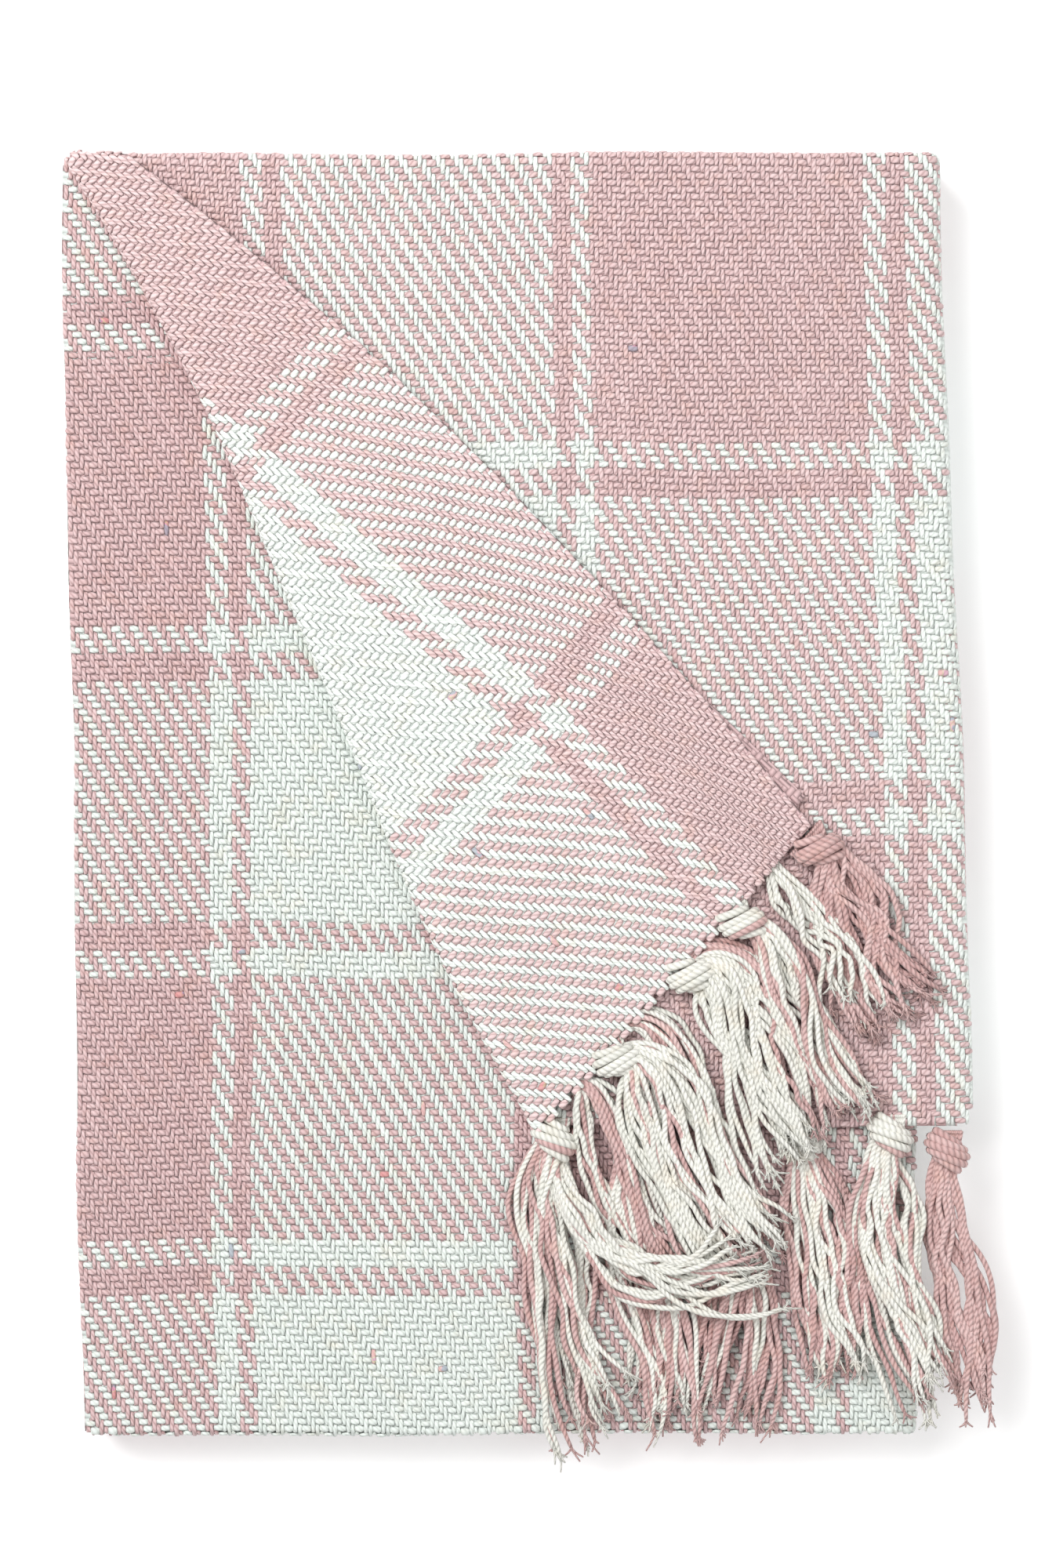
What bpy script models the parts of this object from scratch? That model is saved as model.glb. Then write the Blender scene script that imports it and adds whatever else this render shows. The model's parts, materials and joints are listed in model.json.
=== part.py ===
"""Folded cotton throw with knotted tassels, as an assembly of folded leaves and tassels.

The throw is 1.30 x 1.70 m. It is folded end to end, its tasselled ends are folded back over the
top, and the packet is folded across its width like a fan into four panels: bottom, third, second
and top. Each panel is two leaves, a long base leaf and a shorter tasselled leaf on its outer
side. The free corner of the top tasselled leaf is turned back.

Metres, +Z up. The origin is at the bottom centre of the folded bundle's box. X runs along the
width and +Y points to the end with the lengthwise folds. Plan positions are first given from the
bundle's far left corner, with x to the right and y towards the front, and at() moves them into
the object's frame.
"""
import math

import bmesh
import bpy
from mathutils import Matrix, Vector

# Driving dimensions
OVERALL_WIDTH = 0.3433
OVERALL_DEPTH = 0.4830
PANEL_WIDTH = 0.3260
PANEL_DEPTH = 0.4770
LEAF_PITCH = 0.0036
GAP = 0.0003
FRINGED_EDGE = 0.3540        # from the far fold to the woven end of a tasselled leaf
FRONT_TAPER_LEFT = 0.0080    # how far the left side leans in by the front
FRONT_TAPER_RIGHT = 0.0060
LOOSE_FOLD_LEAN = 0.0130     # how far the two outer leaves of the right fold lean out
FOLD_ROUNDING = 0.0012
RIGHT_FOLD_CLEARANCE = 0.0010  # from the leaves' right sides to the line the top panel turns on
TASSEL_COUNT_PER_PANEL = 9
TASSEL_LENGTH = 0.1110
KNOT_LENGTH = 0.0200
KNOT_WIDTH = 0.0150
KNOT_HEIGHT = 0.0040
SKIRT_WIDTH = 0.0210
SKIRT_BETWEEN_WIDTH = 0.0100
SKIRT_HEIGHT = 0.0036

# Plan of the turned-back corner, from the far left corner of the bundle
CREASE_START = (0.0035, 0.0050)
CREASE_END = (0.1755, 0.3624)
SELVEDGE_START = (0.0100, 0.0068)
SELVEDGE_END = (0.2720, 0.2440)
CREASE_FRINGE_END = (0.1715, 0.3540)

# Middle of the knot and loose end of each tassel: on the turned-back corner from its point to
# the crease, on the straight edge from the right fold to the crease, and of the ply underneath
CORNER_TASSELS = (
    ((0.2819, 0.2545), (0.3260, 0.3270)),
    ((0.2528, 0.2837), (0.2936, 0.3507)),
    ((0.2353, 0.3041), (0.2775, 0.3813)),
    ((0.2076, 0.3347), (0.2600, 0.4180)),
)
EDGE_TASSELS = (
    ((0.3295, 0.3711), (0.3335, 0.4650)),
    ((0.3055, 0.3655), (0.3100, 0.4740)),
    ((0.2770, 0.3655), (0.2790, 0.4740)),
    ((0.2480, 0.3655), (0.2490, 0.4740)),
    ((0.2190, 0.3655), (0.2200, 0.4740)),
    ((0.1843, 0.3655), (0.1930, 0.4820)),
)
TASSELS_BETWEEN = (
    ((0.2700, 0.2720), (0.3080, 0.3360)),
    ((0.2250, 0.3230), (0.2660, 0.3980)),
)

# Levels are counted in leaves from the surface that the bundle rests on
LEVELS = ("bottom_over", "bottom_base", "third_base", "third_over",
          "second_over", "second_base", "top_base", "top_over", "turned_corner")

PINK = (0.60, 0.33, 0.33)
DEEP_PINK = (0.50, 0.25, 0.26)
OFF_WHITE = (0.82, 0.83, 0.77)
MIXED = (0.71, 0.55, 0.53)


def at(x, y, z=0.0):
    """A plan position from the bundle's far left corner, in the object's frame."""
    return Vector((x - OVERALL_WIDTH / 2, OVERALL_DEPTH / 2 - y, z))


def level(name):
    """Lowest and highest height of a leaf, with half a gap left above and below it."""
    index = LEVELS.index(name)
    low = index * LEAF_PITCH + (GAP / 2 if index else 0.0)
    return low, (index + 1) * LEAF_PITCH - GAP / 2


def clear_scene():
    for obj in list(bpy.data.objects):
        bpy.data.objects.remove(obj, do_unlink=True)


def collection():
    group = bpy.data.collections.new("folded_throw")
    bpy.context.scene.collection.children.link(group)
    return group


def material(name, color, roughness=0.92):
    made = bpy.data.materials.new(name)
    made.use_nodes = True
    shader = made.node_tree.nodes["Principled BSDF"]
    shader.inputs["Base Color"].default_value = (*color, 1.0)
    shader.inputs["Roughness"].default_value = roughness
    shader.inputs["Metallic"].default_value = 0.0
    return made


def pivot(group, name, place, parent=None):
    """An empty on a fold's line, which carries the pieces that turn about it."""
    empty = bpy.data.objects.new(name, None)
    group.objects.link(empty)
    empty.empty_display_size = 0.02
    empty.parent = parent
    empty.location = place - (world_place(parent) if parent else Vector())
    return empty


def world_place(obj):
    """Where an unrotated object's origin is, through its parents."""
    place = Vector(obj.location)
    while obj.parent:
        obj = obj.parent
        place += obj.location
    return place


def put(group, obj, place, finish, parent):
    """Link a piece whose mesh is about its own origin, and set its place, body and material."""
    for other in list(obj.users_collection):
        other.objects.unlink(obj)
    group.objects.link(obj)
    obj.parent = parent
    obj.location = place - (world_place(parent) if parent else Vector())
    obj.data.materials.clear()
    obj.data.materials.append(finish)


def centre_of(corners):
    return sum((Vector((x, y, 0.0)) for x, y in corners), Vector()) / len(corners)


def leaf(group, name, corners, finish, parent, thinner=0.0):
    """A leaf of cloth: a box whose four upright edges stand on the plan's corners, with rounded
    folds. The corners run far left, far right, front right, front left."""
    low, high = level(name)
    high -= thinner
    middle = centre_of(corners)
    place = at(middle.x, middle.y, (low + high) / 2)
    bpy.ops.mesh.primitive_cube_add(size=1.0)
    obj = bpy.context.object
    obj.name = name
    obj.data.name = name
    for vertex in obj.data.vertices:
        right = vertex.co.x > 0
        front = vertex.co.y < 0
        corner = corners[(2 if right else 3) if front else (1 if right else 0)]
        flat = at(*corner) - place
        vertex.co = Vector((flat.x, flat.y, math.copysign((high - low) / 2, vertex.co.z)))
    rounding = obj.modifiers.new("folds", 'BEVEL')
    rounding.width = FOLD_ROUNDING
    rounding.segments = 2
    rounding.limit_method = 'NONE'
    put(group, obj, place, finish, parent)
    return obj


def base_corners():
    """Plan of a base leaf: a rectangle whose sides lean in a little towards the front."""
    return ((0.0, 0.0), (PANEL_WIDTH, 0.0),
            (PANEL_WIDTH - FRONT_TAPER_RIGHT, PANEL_DEPTH), (FRONT_TAPER_LEFT, PANEL_DEPTH))


def over_corners(lean=0.0):
    """Plan of a tasselled leaf. It ends at its fringed edge, and its right side leans by lean."""
    share = FRINGED_EDGE / PANEL_DEPTH
    return ((0.0, 0.0), (PANEL_WIDTH, 0.0),
            (PANEL_WIDTH + lean, FRINGED_EDGE), (FRONT_TAPER_LEFT * share, FRINGED_EDGE))


def shift_along_normal(point, start, end, distance):
    """Move a plan point by distance to the right of the direction from start to end."""
    run = Vector((end[0] - start[0], end[1] - start[1]))
    run.normalize()
    return point[0] - run.y * distance, point[1] + run.x * distance


def top_over_corners():
    """Plan of the top tasselled leaf, which stops at the crease."""
    near = shift_along_normal(CREASE_START, CREASE_START, CREASE_END, -GAP)
    far = shift_along_normal(CREASE_FRINGE_END, CREASE_START, CREASE_END, -GAP)
    return ((near[0], 0.0), (PANEL_WIDTH, 0.0),
            (PANEL_WIDTH + LOOSE_FOLD_LEAN, FRINGED_EDGE), far)


def turned_corner_corners():
    """Plan of the turned-back corner, between the crease and the free selvedge."""
    near = shift_along_normal(CREASE_START, CREASE_START, CREASE_END, -GAP)
    far = shift_along_normal(CREASE_FRINGE_END, CREASE_START, CREASE_END, -GAP)
    return near, SELVEDGE_START, SELVEDGE_END, far


def knot(group, name, centre, heading, low, high, finish, parent):
    """A knot: a ball drawn out along its tassel and pressed flat."""
    bpy.ops.mesh.primitive_uv_sphere_add(segments=12, ring_count=6, radius=0.5)
    obj = bpy.context.object
    obj.name = name
    obj.data.name = name
    turn = math.atan2(heading.y, heading.x)
    size = Matrix.Diagonal((KNOT_LENGTH, KNOT_WIDTH, high - low, 1.0))
    obj.data.transform(Matrix.Rotation(turn, 4, 'Z') @ size)
    obj.data.shade_smooth()
    put(group, obj, at(*centre, (low + high) / 2), finish, parent)
    return obj


def as_mesh(group, name, curve, flatten=1.0):
    """A new mesh object from a curve, with its caps welded and its height scaled by flatten."""
    source = bpy.data.objects.new(name + "_path", curve)
    group.objects.link(source)
    bpy.context.view_layer.update()
    shape = source.evaluated_get(bpy.context.evaluated_depsgraph_get())
    mesh = bpy.data.meshes.new_from_object(shape)
    bpy.data.objects.remove(source, do_unlink=True)
    bpy.data.curves.remove(curve)
    mesh.name = name
    mesh.transform(Matrix.Diagonal((1.0, 1.0, flatten, 1.0)))
    work = bmesh.new()
    work.from_mesh(mesh)
    bmesh.ops.remove_doubles(work, verts=work.verts, dist=0.00001)
    work.to_mesh(mesh)
    work.free()
    return bpy.data.objects.new(name, mesh)


def skirt(group, name, start, end, low, high, finish, parent, width=SKIRT_WIDTH):
    """A tassel's skirt: a tapered tube from knot to loose ends, pressed flat."""
    middle = at((start[0] + end[0]) / 2, (start[1] + end[1]) / 2, (low + high) / 2)
    curve = bpy.data.curves.new(name, 'CURVE')
    curve.dimensions = '3D'
    curve.bevel_depth = width / 2
    curve.bevel_resolution = 2
    curve.use_fill_caps = True
    line = curve.splines.new('POLY')
    stations = ((0.0, 0.35), (0.12, 0.62), (0.35, 0.9), (0.75, 1.0), (0.95, 0.95), (1.0, 0.8))
    line.points.add(len(stations) - 1)
    for point, (share, swell) in zip(line.points, stations):
        spot = at(start[0] + (end[0] - start[0]) * share,
                  start[1] + (end[1] - start[1]) * share) - middle
        point.co = (spot.x, spot.y, 0.0, 1.0)
        point.radius = swell
    obj = as_mesh(group, name, curve, flatten=(high - low) / width)
    obj.data.shade_smooth()
    put(group, obj, middle, finish, parent)
    return obj


def tassel(group, label, number, ends, low, high, finishes, parent):
    """A knot and its skirt, end to end with a small gap. ends are the knot's middle and the
    skirt's loose end."""
    start, end = ends
    heading = at(*end) - at(*start)
    heading.normalize()
    clear = KNOT_LENGTH / 2 + GAP
    skirt_start = (start[0] + heading.x * clear, start[1] - heading.y * clear)
    knot(group, f"{label}_knot_{number}", start, heading, low, high, finishes[0], parent)
    skirt(group, f"{label}_tassel_{number}", skirt_start, end, low, low + SKIRT_HEIGHT,
          finishes[1], parent)


def hidden_fringe(group, name, leaf_name, finish, parent, lean=0.0):
    """The row of tassels on a tasselled leaf that lies inside or under the bundle: a flat comb,
    whose back is the fringed edge's knots and whose teeth widen to the loose ends."""
    low, high = level(leaf_name)
    left = FRONT_TAPER_LEFT
    pitch = (PANEL_WIDTH + lean - left - KNOT_LENGTH) / TASSEL_COUNT_PER_PANEL
    first = left + pitch / 2
    near = FRINGED_EDGE + GAP
    middle = at(first + pitch * (TASSEL_COUNT_PER_PANEL - 1) / 2,
                near + TASSEL_LENGTH / 2, (low + high) / 2)
    outline = [(first - KNOT_WIDTH / 2, near)]
    for number in range(TASSEL_COUNT_PER_PANEL):
        across = first + pitch * number
        root = near + KNOT_WIDTH / 3
        outline.append((across - KNOT_WIDTH / 2, root))
        outline.append((across - SKIRT_WIDTH / 2, near + TASSEL_LENGTH))
        outline.append((across + SKIRT_WIDTH / 2, near + TASSEL_LENGTH))
        outline.append((across + KNOT_WIDTH / 2, root))
    outline.append((across + KNOT_WIDTH / 2, near))
    curve = bpy.data.curves.new(name, 'CURVE')
    curve.dimensions = '2D'
    curve.fill_mode = 'BOTH'
    curve.extrude = (high - low) / 2
    line = curve.splines.new('POLY')
    line.points.add(len(outline) - 1)
    line.use_cyclic_u = True
    for point, (x, y) in zip(line.points, outline):
        spot = at(x, y) - middle
        point.co = (spot.x, spot.y, 0.0, 1.0)
    obj = as_mesh(group, name, curve)
    put(group, obj, middle, finish, parent)
    return obj


def main():
    clear_scene()
    group = collection()
    pink = material("woven_pink", PINK)
    deep = material("woven_deep_pink", DEEP_PINK)
    white = material("yarn_white", OFF_WHITE)
    rose = material("yarn_pink", PINK)
    mixed = material("yarn_mixed", MIXED)
    mixed_cloth = material("woven_plaid", MIXED)

    second_fold = pivot(group, "second_panel_fold", at(0.0, 0.0, 4 * LEAF_PITCH))
    right_side = PANEL_WIDTH + RIGHT_FOLD_CLEARANCE
    top_fold = pivot(group, "top_panel_fold", at(right_side, 0.0, 6 * LEAF_PITCH), second_fold)
    crease = pivot(group, "corner_crease", at(*CREASE_START, 8 * LEAF_PITCH), top_fold)

    leaf(group, "bottom_over", over_corners(), deep, None)
    leaf(group, "bottom_base", base_corners(), mixed_cloth, None)
    leaf(group, "third_base", base_corners(), mixed_cloth, None)
    leaf(group, "third_over", over_corners(), pink, None)
    hidden_fringe(group, "bottom_fringe", "bottom_over", mixed, None)
    hidden_fringe(group, "third_fringe", "third_over", mixed, None)

    leaf(group, "second_over", over_corners(LOOSE_FOLD_LEAN), pink, second_fold)
    leaf(group, "second_base", base_corners(), mixed_cloth, second_fold)
    hidden_fringe(group, "second_fringe", "second_over", mixed, second_fold)

    leaf(group, "top_base", base_corners(), mixed_cloth, top_fold, thinner=2 * GAP)
    leaf(group, "top_over", top_over_corners(), pink, top_fold)
    low, high = level("top_over")
    for number, ends in enumerate(EDGE_TASSELS, start=1):
        finishes = (rose, mixed) if number == 1 else (white, mixed)
        tassel(group, "edge", number, ends, low, high, finishes, top_fold)

    leaf(group, "turned_corner", turned_corner_corners(), pink, crease)
    low = level("turned_corner")[0]
    for number, ends in enumerate(CORNER_TASSELS, start=1):
        finishes = (rose, rose) if number == 1 else (white, white)
        tassel(group, "corner", number, ends, low, low + KNOT_HEIGHT, finishes, crease)
    for number, (start, end) in enumerate(TASSELS_BETWEEN, start=1):
        skirt(group, f"corner_tassel_between_{number}", start, end, low, low + SKIRT_HEIGHT,
              rose, crease, width=SKIRT_BETWEEN_WIDTH)


main()
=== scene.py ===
"""Folded cotton throw: woven twill cloth, knotted tassels, floor, light and camera.

The cloth is drawn yarn by yarn where it shows. Every point of it is first a place in the flat
plan of its leaf (x to the right from the far left corner, y towards the front), which the fold
functions then carry over the bundle's folds and round the crease of the turned-back corner.
"""
import json
import math

import bpy
import numpy as np
from bpy.props import FloatProperty, FloatVectorProperty, IntProperty, PointerProperty
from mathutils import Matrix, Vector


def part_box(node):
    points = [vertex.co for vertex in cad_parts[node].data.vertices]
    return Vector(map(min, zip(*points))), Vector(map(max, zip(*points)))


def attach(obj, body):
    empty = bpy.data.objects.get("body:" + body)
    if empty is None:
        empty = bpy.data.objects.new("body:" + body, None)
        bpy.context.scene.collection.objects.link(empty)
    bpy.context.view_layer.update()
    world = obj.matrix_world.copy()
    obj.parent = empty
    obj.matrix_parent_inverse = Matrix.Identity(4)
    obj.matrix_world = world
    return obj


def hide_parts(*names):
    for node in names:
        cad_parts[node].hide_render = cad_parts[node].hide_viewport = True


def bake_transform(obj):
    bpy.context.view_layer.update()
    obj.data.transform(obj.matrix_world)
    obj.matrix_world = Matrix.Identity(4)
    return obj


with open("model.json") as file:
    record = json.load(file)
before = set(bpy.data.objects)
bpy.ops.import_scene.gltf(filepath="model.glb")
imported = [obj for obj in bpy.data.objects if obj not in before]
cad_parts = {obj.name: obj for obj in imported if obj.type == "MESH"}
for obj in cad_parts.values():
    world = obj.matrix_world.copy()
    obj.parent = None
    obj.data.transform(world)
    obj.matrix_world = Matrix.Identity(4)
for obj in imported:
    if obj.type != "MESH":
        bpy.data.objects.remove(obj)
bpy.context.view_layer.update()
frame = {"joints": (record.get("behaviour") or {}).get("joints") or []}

bl_info = {
    "name": "Folded cotton throw",
    "version": (1, 0, 0),
    "blender": (4, 5, 0),
    "location": "View3D > Sidebar > Throw",
    "description": "Builds a folded twill throw with knotted tassels, yarn by yarn",
    "category": "Add Mesh",
}

# ---------------------------------------------------------------- the bundle, from the frame

BASE_LOW, BASE_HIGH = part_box("top_base")
OVER_LOW, OVER_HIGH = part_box("top_over")
FAR_LEFT_X = BASE_LOW[0]
FAR_Y = BASE_HIGH[1]
PANEL_WIDTH = BASE_HIGH[0] - BASE_LOW[0]
PANEL_DEPTH = BASE_HIGH[1] - BASE_LOW[1]
FRINGED_EDGE = OVER_HIGH[1] - OVER_LOW[1]
RIGHT_LEAN = OVER_HIGH[0] - BASE_HIGH[0]
LEFT_TAPER = 0.008
RIGHT_TAPER = 0.006
LEAF = OVER_LOW[2] / 7.0           # height of one leaf of two plies
TOP_PANEL_LEVEL = 6
JOINTS = {joint["name"]: joint for joint in frame["joints"]}
CREASE = JOINTS["corner_crease"]
CREASE_START = np.array([CREASE["pos_m"][0] - FAR_LEFT_X, FAR_Y - CREASE["pos_m"][1]])
CREASE_RUN = np.array([CREASE["axis"][0], -CREASE["axis"][1]])
CREASE_RUN = CREASE_RUN / np.linalg.norm(CREASE_RUN)
CREASE_SIDE = np.array([CREASE_RUN[1], -CREASE_RUN[0]])     # points to the side that is turned
CREASE_LENGTH = (FRINGED_EDGE - CREASE_START[1]) / CREASE_RUN[1]

MM = 0.001
PLY = 0.5 * LEAF
NOSE_INSET = 5.5 * MM              # from a leaf's side to the centre line of its side fold
FAR_NOSE_INSET = 3.0 * MM          # from the far end to the centre line of the far fold
FRONT_NOSE_INSET = 2.2 * MM        # from the front end to the centre line of the front fold
SHEET_THICKNESS = 1.3 * MM

# The roll of the crease: its centre line, the radius of each ply and how far it reaches
ROLL_CENTRE_Z = 8 * LEAF + 0.35 * MM
ROLL_OUTER = 3.3 * MM
ROLL_INNER = 1.3 * MM
ROLL_REACH = ROLL_OUTER + 0.9 * MM
CREASE_SWING = 100 * MM            # scale of the crease's S-shaped bow
SELVEDGE_SWELL = 14 * MM           # how far the turned part swells sideways
SELVEDGE_DRAW = 17 * MM            # how far the warps by the selvedge are drawn together,
DRAWN_LENGTH = 0.330               # over this length from the fringe
TURNED_LENGTH = 0.340              # length of the turned part along the crease
RAGGED_END = FRINGED_EDGE + 7.5 * MM    # where the upper ply's visible cloth ends
RIGHTMOST = FAR_LEFT_X + 0.3500        # no tassel yarn lies further right than this

# Where the turned-back corner lies: its tip, the run of its fringed edge, and the far end of
# its selvedge, in plan
CORNER_TIP = np.array([0.2785, 0.2495])
CORNER_EDGE_RUN = np.array([-0.652, 0.758])
CORNER_FAR = np.array([0.0254, 0.0023])

PINK_YARN = (0.745, 0.530, 0.532)
WHITE_YARN = (0.815, 0.870, 0.835)
TASSEL_CAST = (1.0, 0.93, 0.89)    # the tassels' yarns against the cloth's, in each channel


def eased(share):
    """Smooth step from 0 to 1: share squared, times three less twice share."""
    share = np.clip(share, 0, 1)
    return share * share * (3 - 2 * share)


def unit(vector):
    """The vector divided by its length."""
    return np.asarray(vector) / np.linalg.norm(vector)


def turned_back(direction):
    """A direction in plan, mirrored in the crease."""
    return 2 * (direction @ CREASE_RUN) * CREASE_RUN - direction


def place_before_turning(place):
    """Where a place on the turned-back corner lies in its leaf's flat plan."""
    from_start = place - CREASE_START
    along = from_start @ CREASE_RUN
    across = 2 * ROLL_REACH - math.pi * ROLL_OUTER - from_start @ CREASE_SIDE
    return CREASE_START + CREASE_RUN * along + CREASE_SIDE * across


TURNED_TIP = place_before_turning(CORNER_TIP)
TURNED_WEFT = unit(turned_back(CORNER_EDGE_RUN))
TURNED_WARP = unit(turned_back(CORNER_FAR - CORNER_TIP))


# ---------------------------------------------------------------- settings

class ThrowWeave(bpy.types.PropertyGroup):
    """Sizes of the weave and its check."""
    warp_pitch: FloatProperty(name="Warp pitch", description="Distance between warp yarns",
                              default=0.00172, min=0.0005, unit='LENGTH', precision=5)
    weft_pitch: FloatProperty(name="Weft pitch", description="Distance between weft yarns",
                              default=0.00257, min=0.0005, unit='LENGTH', precision=5)
    edge_stripe: FloatProperty(name="Edge stripe", description="Pink warp at the selvedge",
                               default=0.052, unit='LENGTH')
    wide_pink: FloatProperty(name="Wide pink stripe", description="Width of a wide pink stripe",
                             default=0.1015, unit='LENGTH')
    wide_white: FloatProperty(name="Wide white stripe", description="Width of a wide white stripe",
                              default=0.102, unit='LENGTH')
    thin_white: FloatProperty(name="Thin white stripe", description="White line beside a wide one",
                              default=0.0075, unit='LENGTH')
    thin_pink: FloatProperty(name="Thin pink stripe", description="Pink line beside a wide one",
                             default=0.0068, unit='LENGTH')


class ThrowColours(bpy.types.PropertyGroup):
    """Colours of the two yarns."""
    pink: FloatVectorProperty(name="Pink yarn", description="Dusty pink cotton", size=3,
                              subtype='COLOR', min=0.0, max=1.0, default=PINK_YARN)
    white: FloatVectorProperty(name="White yarn", description="Off-white cotton", size=3,
                               subtype='COLOR', min=0.0, max=1.0, default=WHITE_YARN)


class ThrowTassels(bpy.types.PropertyGroup):
    """Sizes of the tassels."""
    yarns: IntProperty(name="Yarns", description="Yarns in one tassel", default=38, min=4)
    yarn_radius: FloatProperty(name="Yarn radius", description="Half the thickness of a yarn",
                               default=0.00104, unit='LENGTH', precision=5)
    seed: IntProperty(name="Seed", description="Seed for the lie of the yarns", default=7)


# ---------------------------------------------------------------- folds

def bundle_settle(points):
    """Soft unevenness of the whole bundle: heights scale by a few slow sine waves of plan
    position, and the sides wander by a fraction of a millimetre."""
    out = np.array(points, float)
    x, y, z = out[..., 0], out[..., 1], out[..., 2]
    swell = (0.014 * np.sin(31 * x + 17 * y + 0.7) + 0.012 * np.sin(-23 * x + 41 * y + 2.1)
             + 0.008 * np.sin(67 * x + 29 * y + 4.0))
    drift = 0.6 * MM * np.sin(21 * y + 1.3) + 0.35 * MM * np.sin(53 * y + 0.4)
    sway = 0.5 * MM * np.sin(19 * x + 0.2) + 0.3 * MM * np.sin(47 * x)
    return np.stack((x + drift, y + sway, z * (1 + swell)), axis=-1)


def left_side(y):
    """x of a leaf's left side, which leans in evenly towards the front."""
    return LEFT_TAPER * np.clip(y, 0, None) / PANEL_DEPTH


def right_side(y, over):
    """x of a leaf's right side: base leaves lean in, the two outermost leaves lean out."""
    lean = RIGHT_LEAN * np.clip(y, 0, None) / FRINGED_EDGE
    return PANEL_WIDTH + np.where(over, lean, -RIGHT_TAPER * np.clip(y, 0, None) / PANEL_DEPTH)


def side_nose(x, z, centre, plane):
    """Carry points past a side fold's centre line round a circle about (centre, plane)."""
    radius = z - plane
    beyond = np.clip((x - centre) / np.maximum(np.abs(radius), 1e-6), 0, math.pi / 2)
    past = x > centre
    new_x = np.where(past, centre + np.abs(radius) * np.sin(beyond), x)
    new_z = np.where(past, plane + radius * np.cos(beyond), z)
    return new_x, new_z


def to_frame(x, y, z):
    """Plan position to the object's frame, with the bundle's unevenness."""
    return bundle_settle(np.stack((FAR_LEFT_X + x, FAR_Y - y, z), axis=-1))


def crease_place(x, y):
    """Place in plan from the crease's start: along the crease, and across it towards the side
    that is turned."""
    from_x = x - CREASE_START[0]
    from_y = y - CREASE_START[1]
    return (from_x * CREASE_RUN[0] + from_y * CREASE_RUN[1],
            from_x * CREASE_SIDE[0] + from_y * CREASE_SIDE[1])


def crease_bow(along):
    """Sideways bow of the crease along its length: a slow S."""
    share = np.clip(along / CREASE_LENGTH, 0, 1)
    return CREASE_SWING * share * (1 - share) * (0.62 - share)


def selvedge_bow(along):
    """Sideways bow of the turned part far from the crease: one swell, fullest near the top."""
    share = np.clip(along / TURNED_LENGTH, 0, 1)
    return SELVEDGE_SWELL * np.sin(math.pi * share ** 0.68)


def roll_over(x, y, z_leaf, radius):
    """Turn the part of a ply beyond the crease back over the leaf: first half a circle of the
    given radius about the roll's centre line, then flat above it, mirrored about the crease."""
    along, across = crease_place(x, y)
    across = across - ROLL_REACH
    beyond = -across
    turn = np.clip(beyond / radius, 0, math.pi)
    rolled = across < 0
    flat_part = np.clip(beyond - math.pi * radius, 0, None)
    new_across = np.where(rolled, -radius * np.sin(turn) + flat_part, across)
    puff = 1.3 * MM * np.exp(-((new_across - 4 * MM) / (13 * MM)) ** 2)
    z_rolled = ROLL_CENTRE_Z - radius * np.cos(turn) + puff * (1 - np.cos(turn)) / 2
    settle = eased(across / (14 * MM))
    z_kept = (ROLL_CENTRE_Z - radius) * (1 - settle) + z_leaf * settle
    new_z = np.where(rolled, z_rolled, np.where(z_leaf > TOP_PANEL_LEVEL * LEAF, z_kept, z_leaf))
    near = np.exp(-(new_across / (45 * MM)) ** 2)
    bow = crease_bow(along) * near + np.where(rolled, selvedge_bow(along), 0.0) * (1 - near)
    offset = new_across + ROLL_REACH + bow
    new_x = CREASE_START[0] + CREASE_RUN[0] * along + CREASE_SIDE[0] * offset
    new_y = CREASE_START[1] + CREASE_RUN[1] * along + CREASE_SIDE[1] * offset
    return new_x, new_y, new_z


def far_nose(y, centre_z, radius, top):
    """Carry points past the far fold's centre line round a circle: from height centre_z + top *
    radius, over the far end, to the opposite height."""
    past = np.clip((FAR_NOSE_INSET - y) / radius, 0, math.pi)
    over = y < FAR_NOSE_INSET
    new_y = np.where(over, FAR_NOSE_INSET - radius * np.sin(past), y)
    new_z = centre_z + top * radius * np.where(over, np.cos(past), 1.0)
    return new_y, new_z


def upper_leaf(x, y):
    """Middle surface of the top tasselled leaf's upper ply, from its flat plan."""
    over = np.ones_like(x, bool)
    new_y, z = far_nose(y, 7 * LEAF, 1.5 * PLY, 1)
    nose = right_side(y, over) - NOSE_INSET
    new_x, z = side_nose(x, z, nose, TOP_PANEL_LEVEL * LEAF)
    new_x, new_y, z = roll_over(new_x, new_y, z, ROLL_INNER)
    return to_frame(new_x, new_y, z)


def turned_leaf(x, y):
    """Middle surface of the lower ply, which is outermost on the turned-back corner. Where it
    nears the far fold it rounds down over it."""
    z = np.full_like(x, 7 * LEAF + 0.5 * PLY)
    new_x, new_y, z = roll_over(x, y, z, ROLL_OUTER)
    past = np.clip((FAR_NOSE_INSET - new_y) / FAR_NOSE_INSET, 0, math.pi / 2)
    rounded = FAR_NOSE_INSET * (1 - np.sin(past))
    z = z - FAR_NOSE_INSET * (1 - np.cos(past))
    return to_frame(new_x, np.where(new_y < FAR_NOSE_INSET, rounded, new_y), z)


def fanning(y):
    """How much wider the top tasselled leaf is at y than at the far end."""
    return 1 + RIGHT_LEAN * np.clip(y, 0, None) / FRINGED_EDGE / PANEL_WIDTH


def upper_cloth(u, v):
    """Upper ply of the tasselled leaf from cloth coordinates: u from its left, v from its
    fringed edge. Its warps fan out with the leaf's leaning side."""
    y = RAGGED_END - v
    return upper_leaf(u * fanning(y), y)


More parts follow.
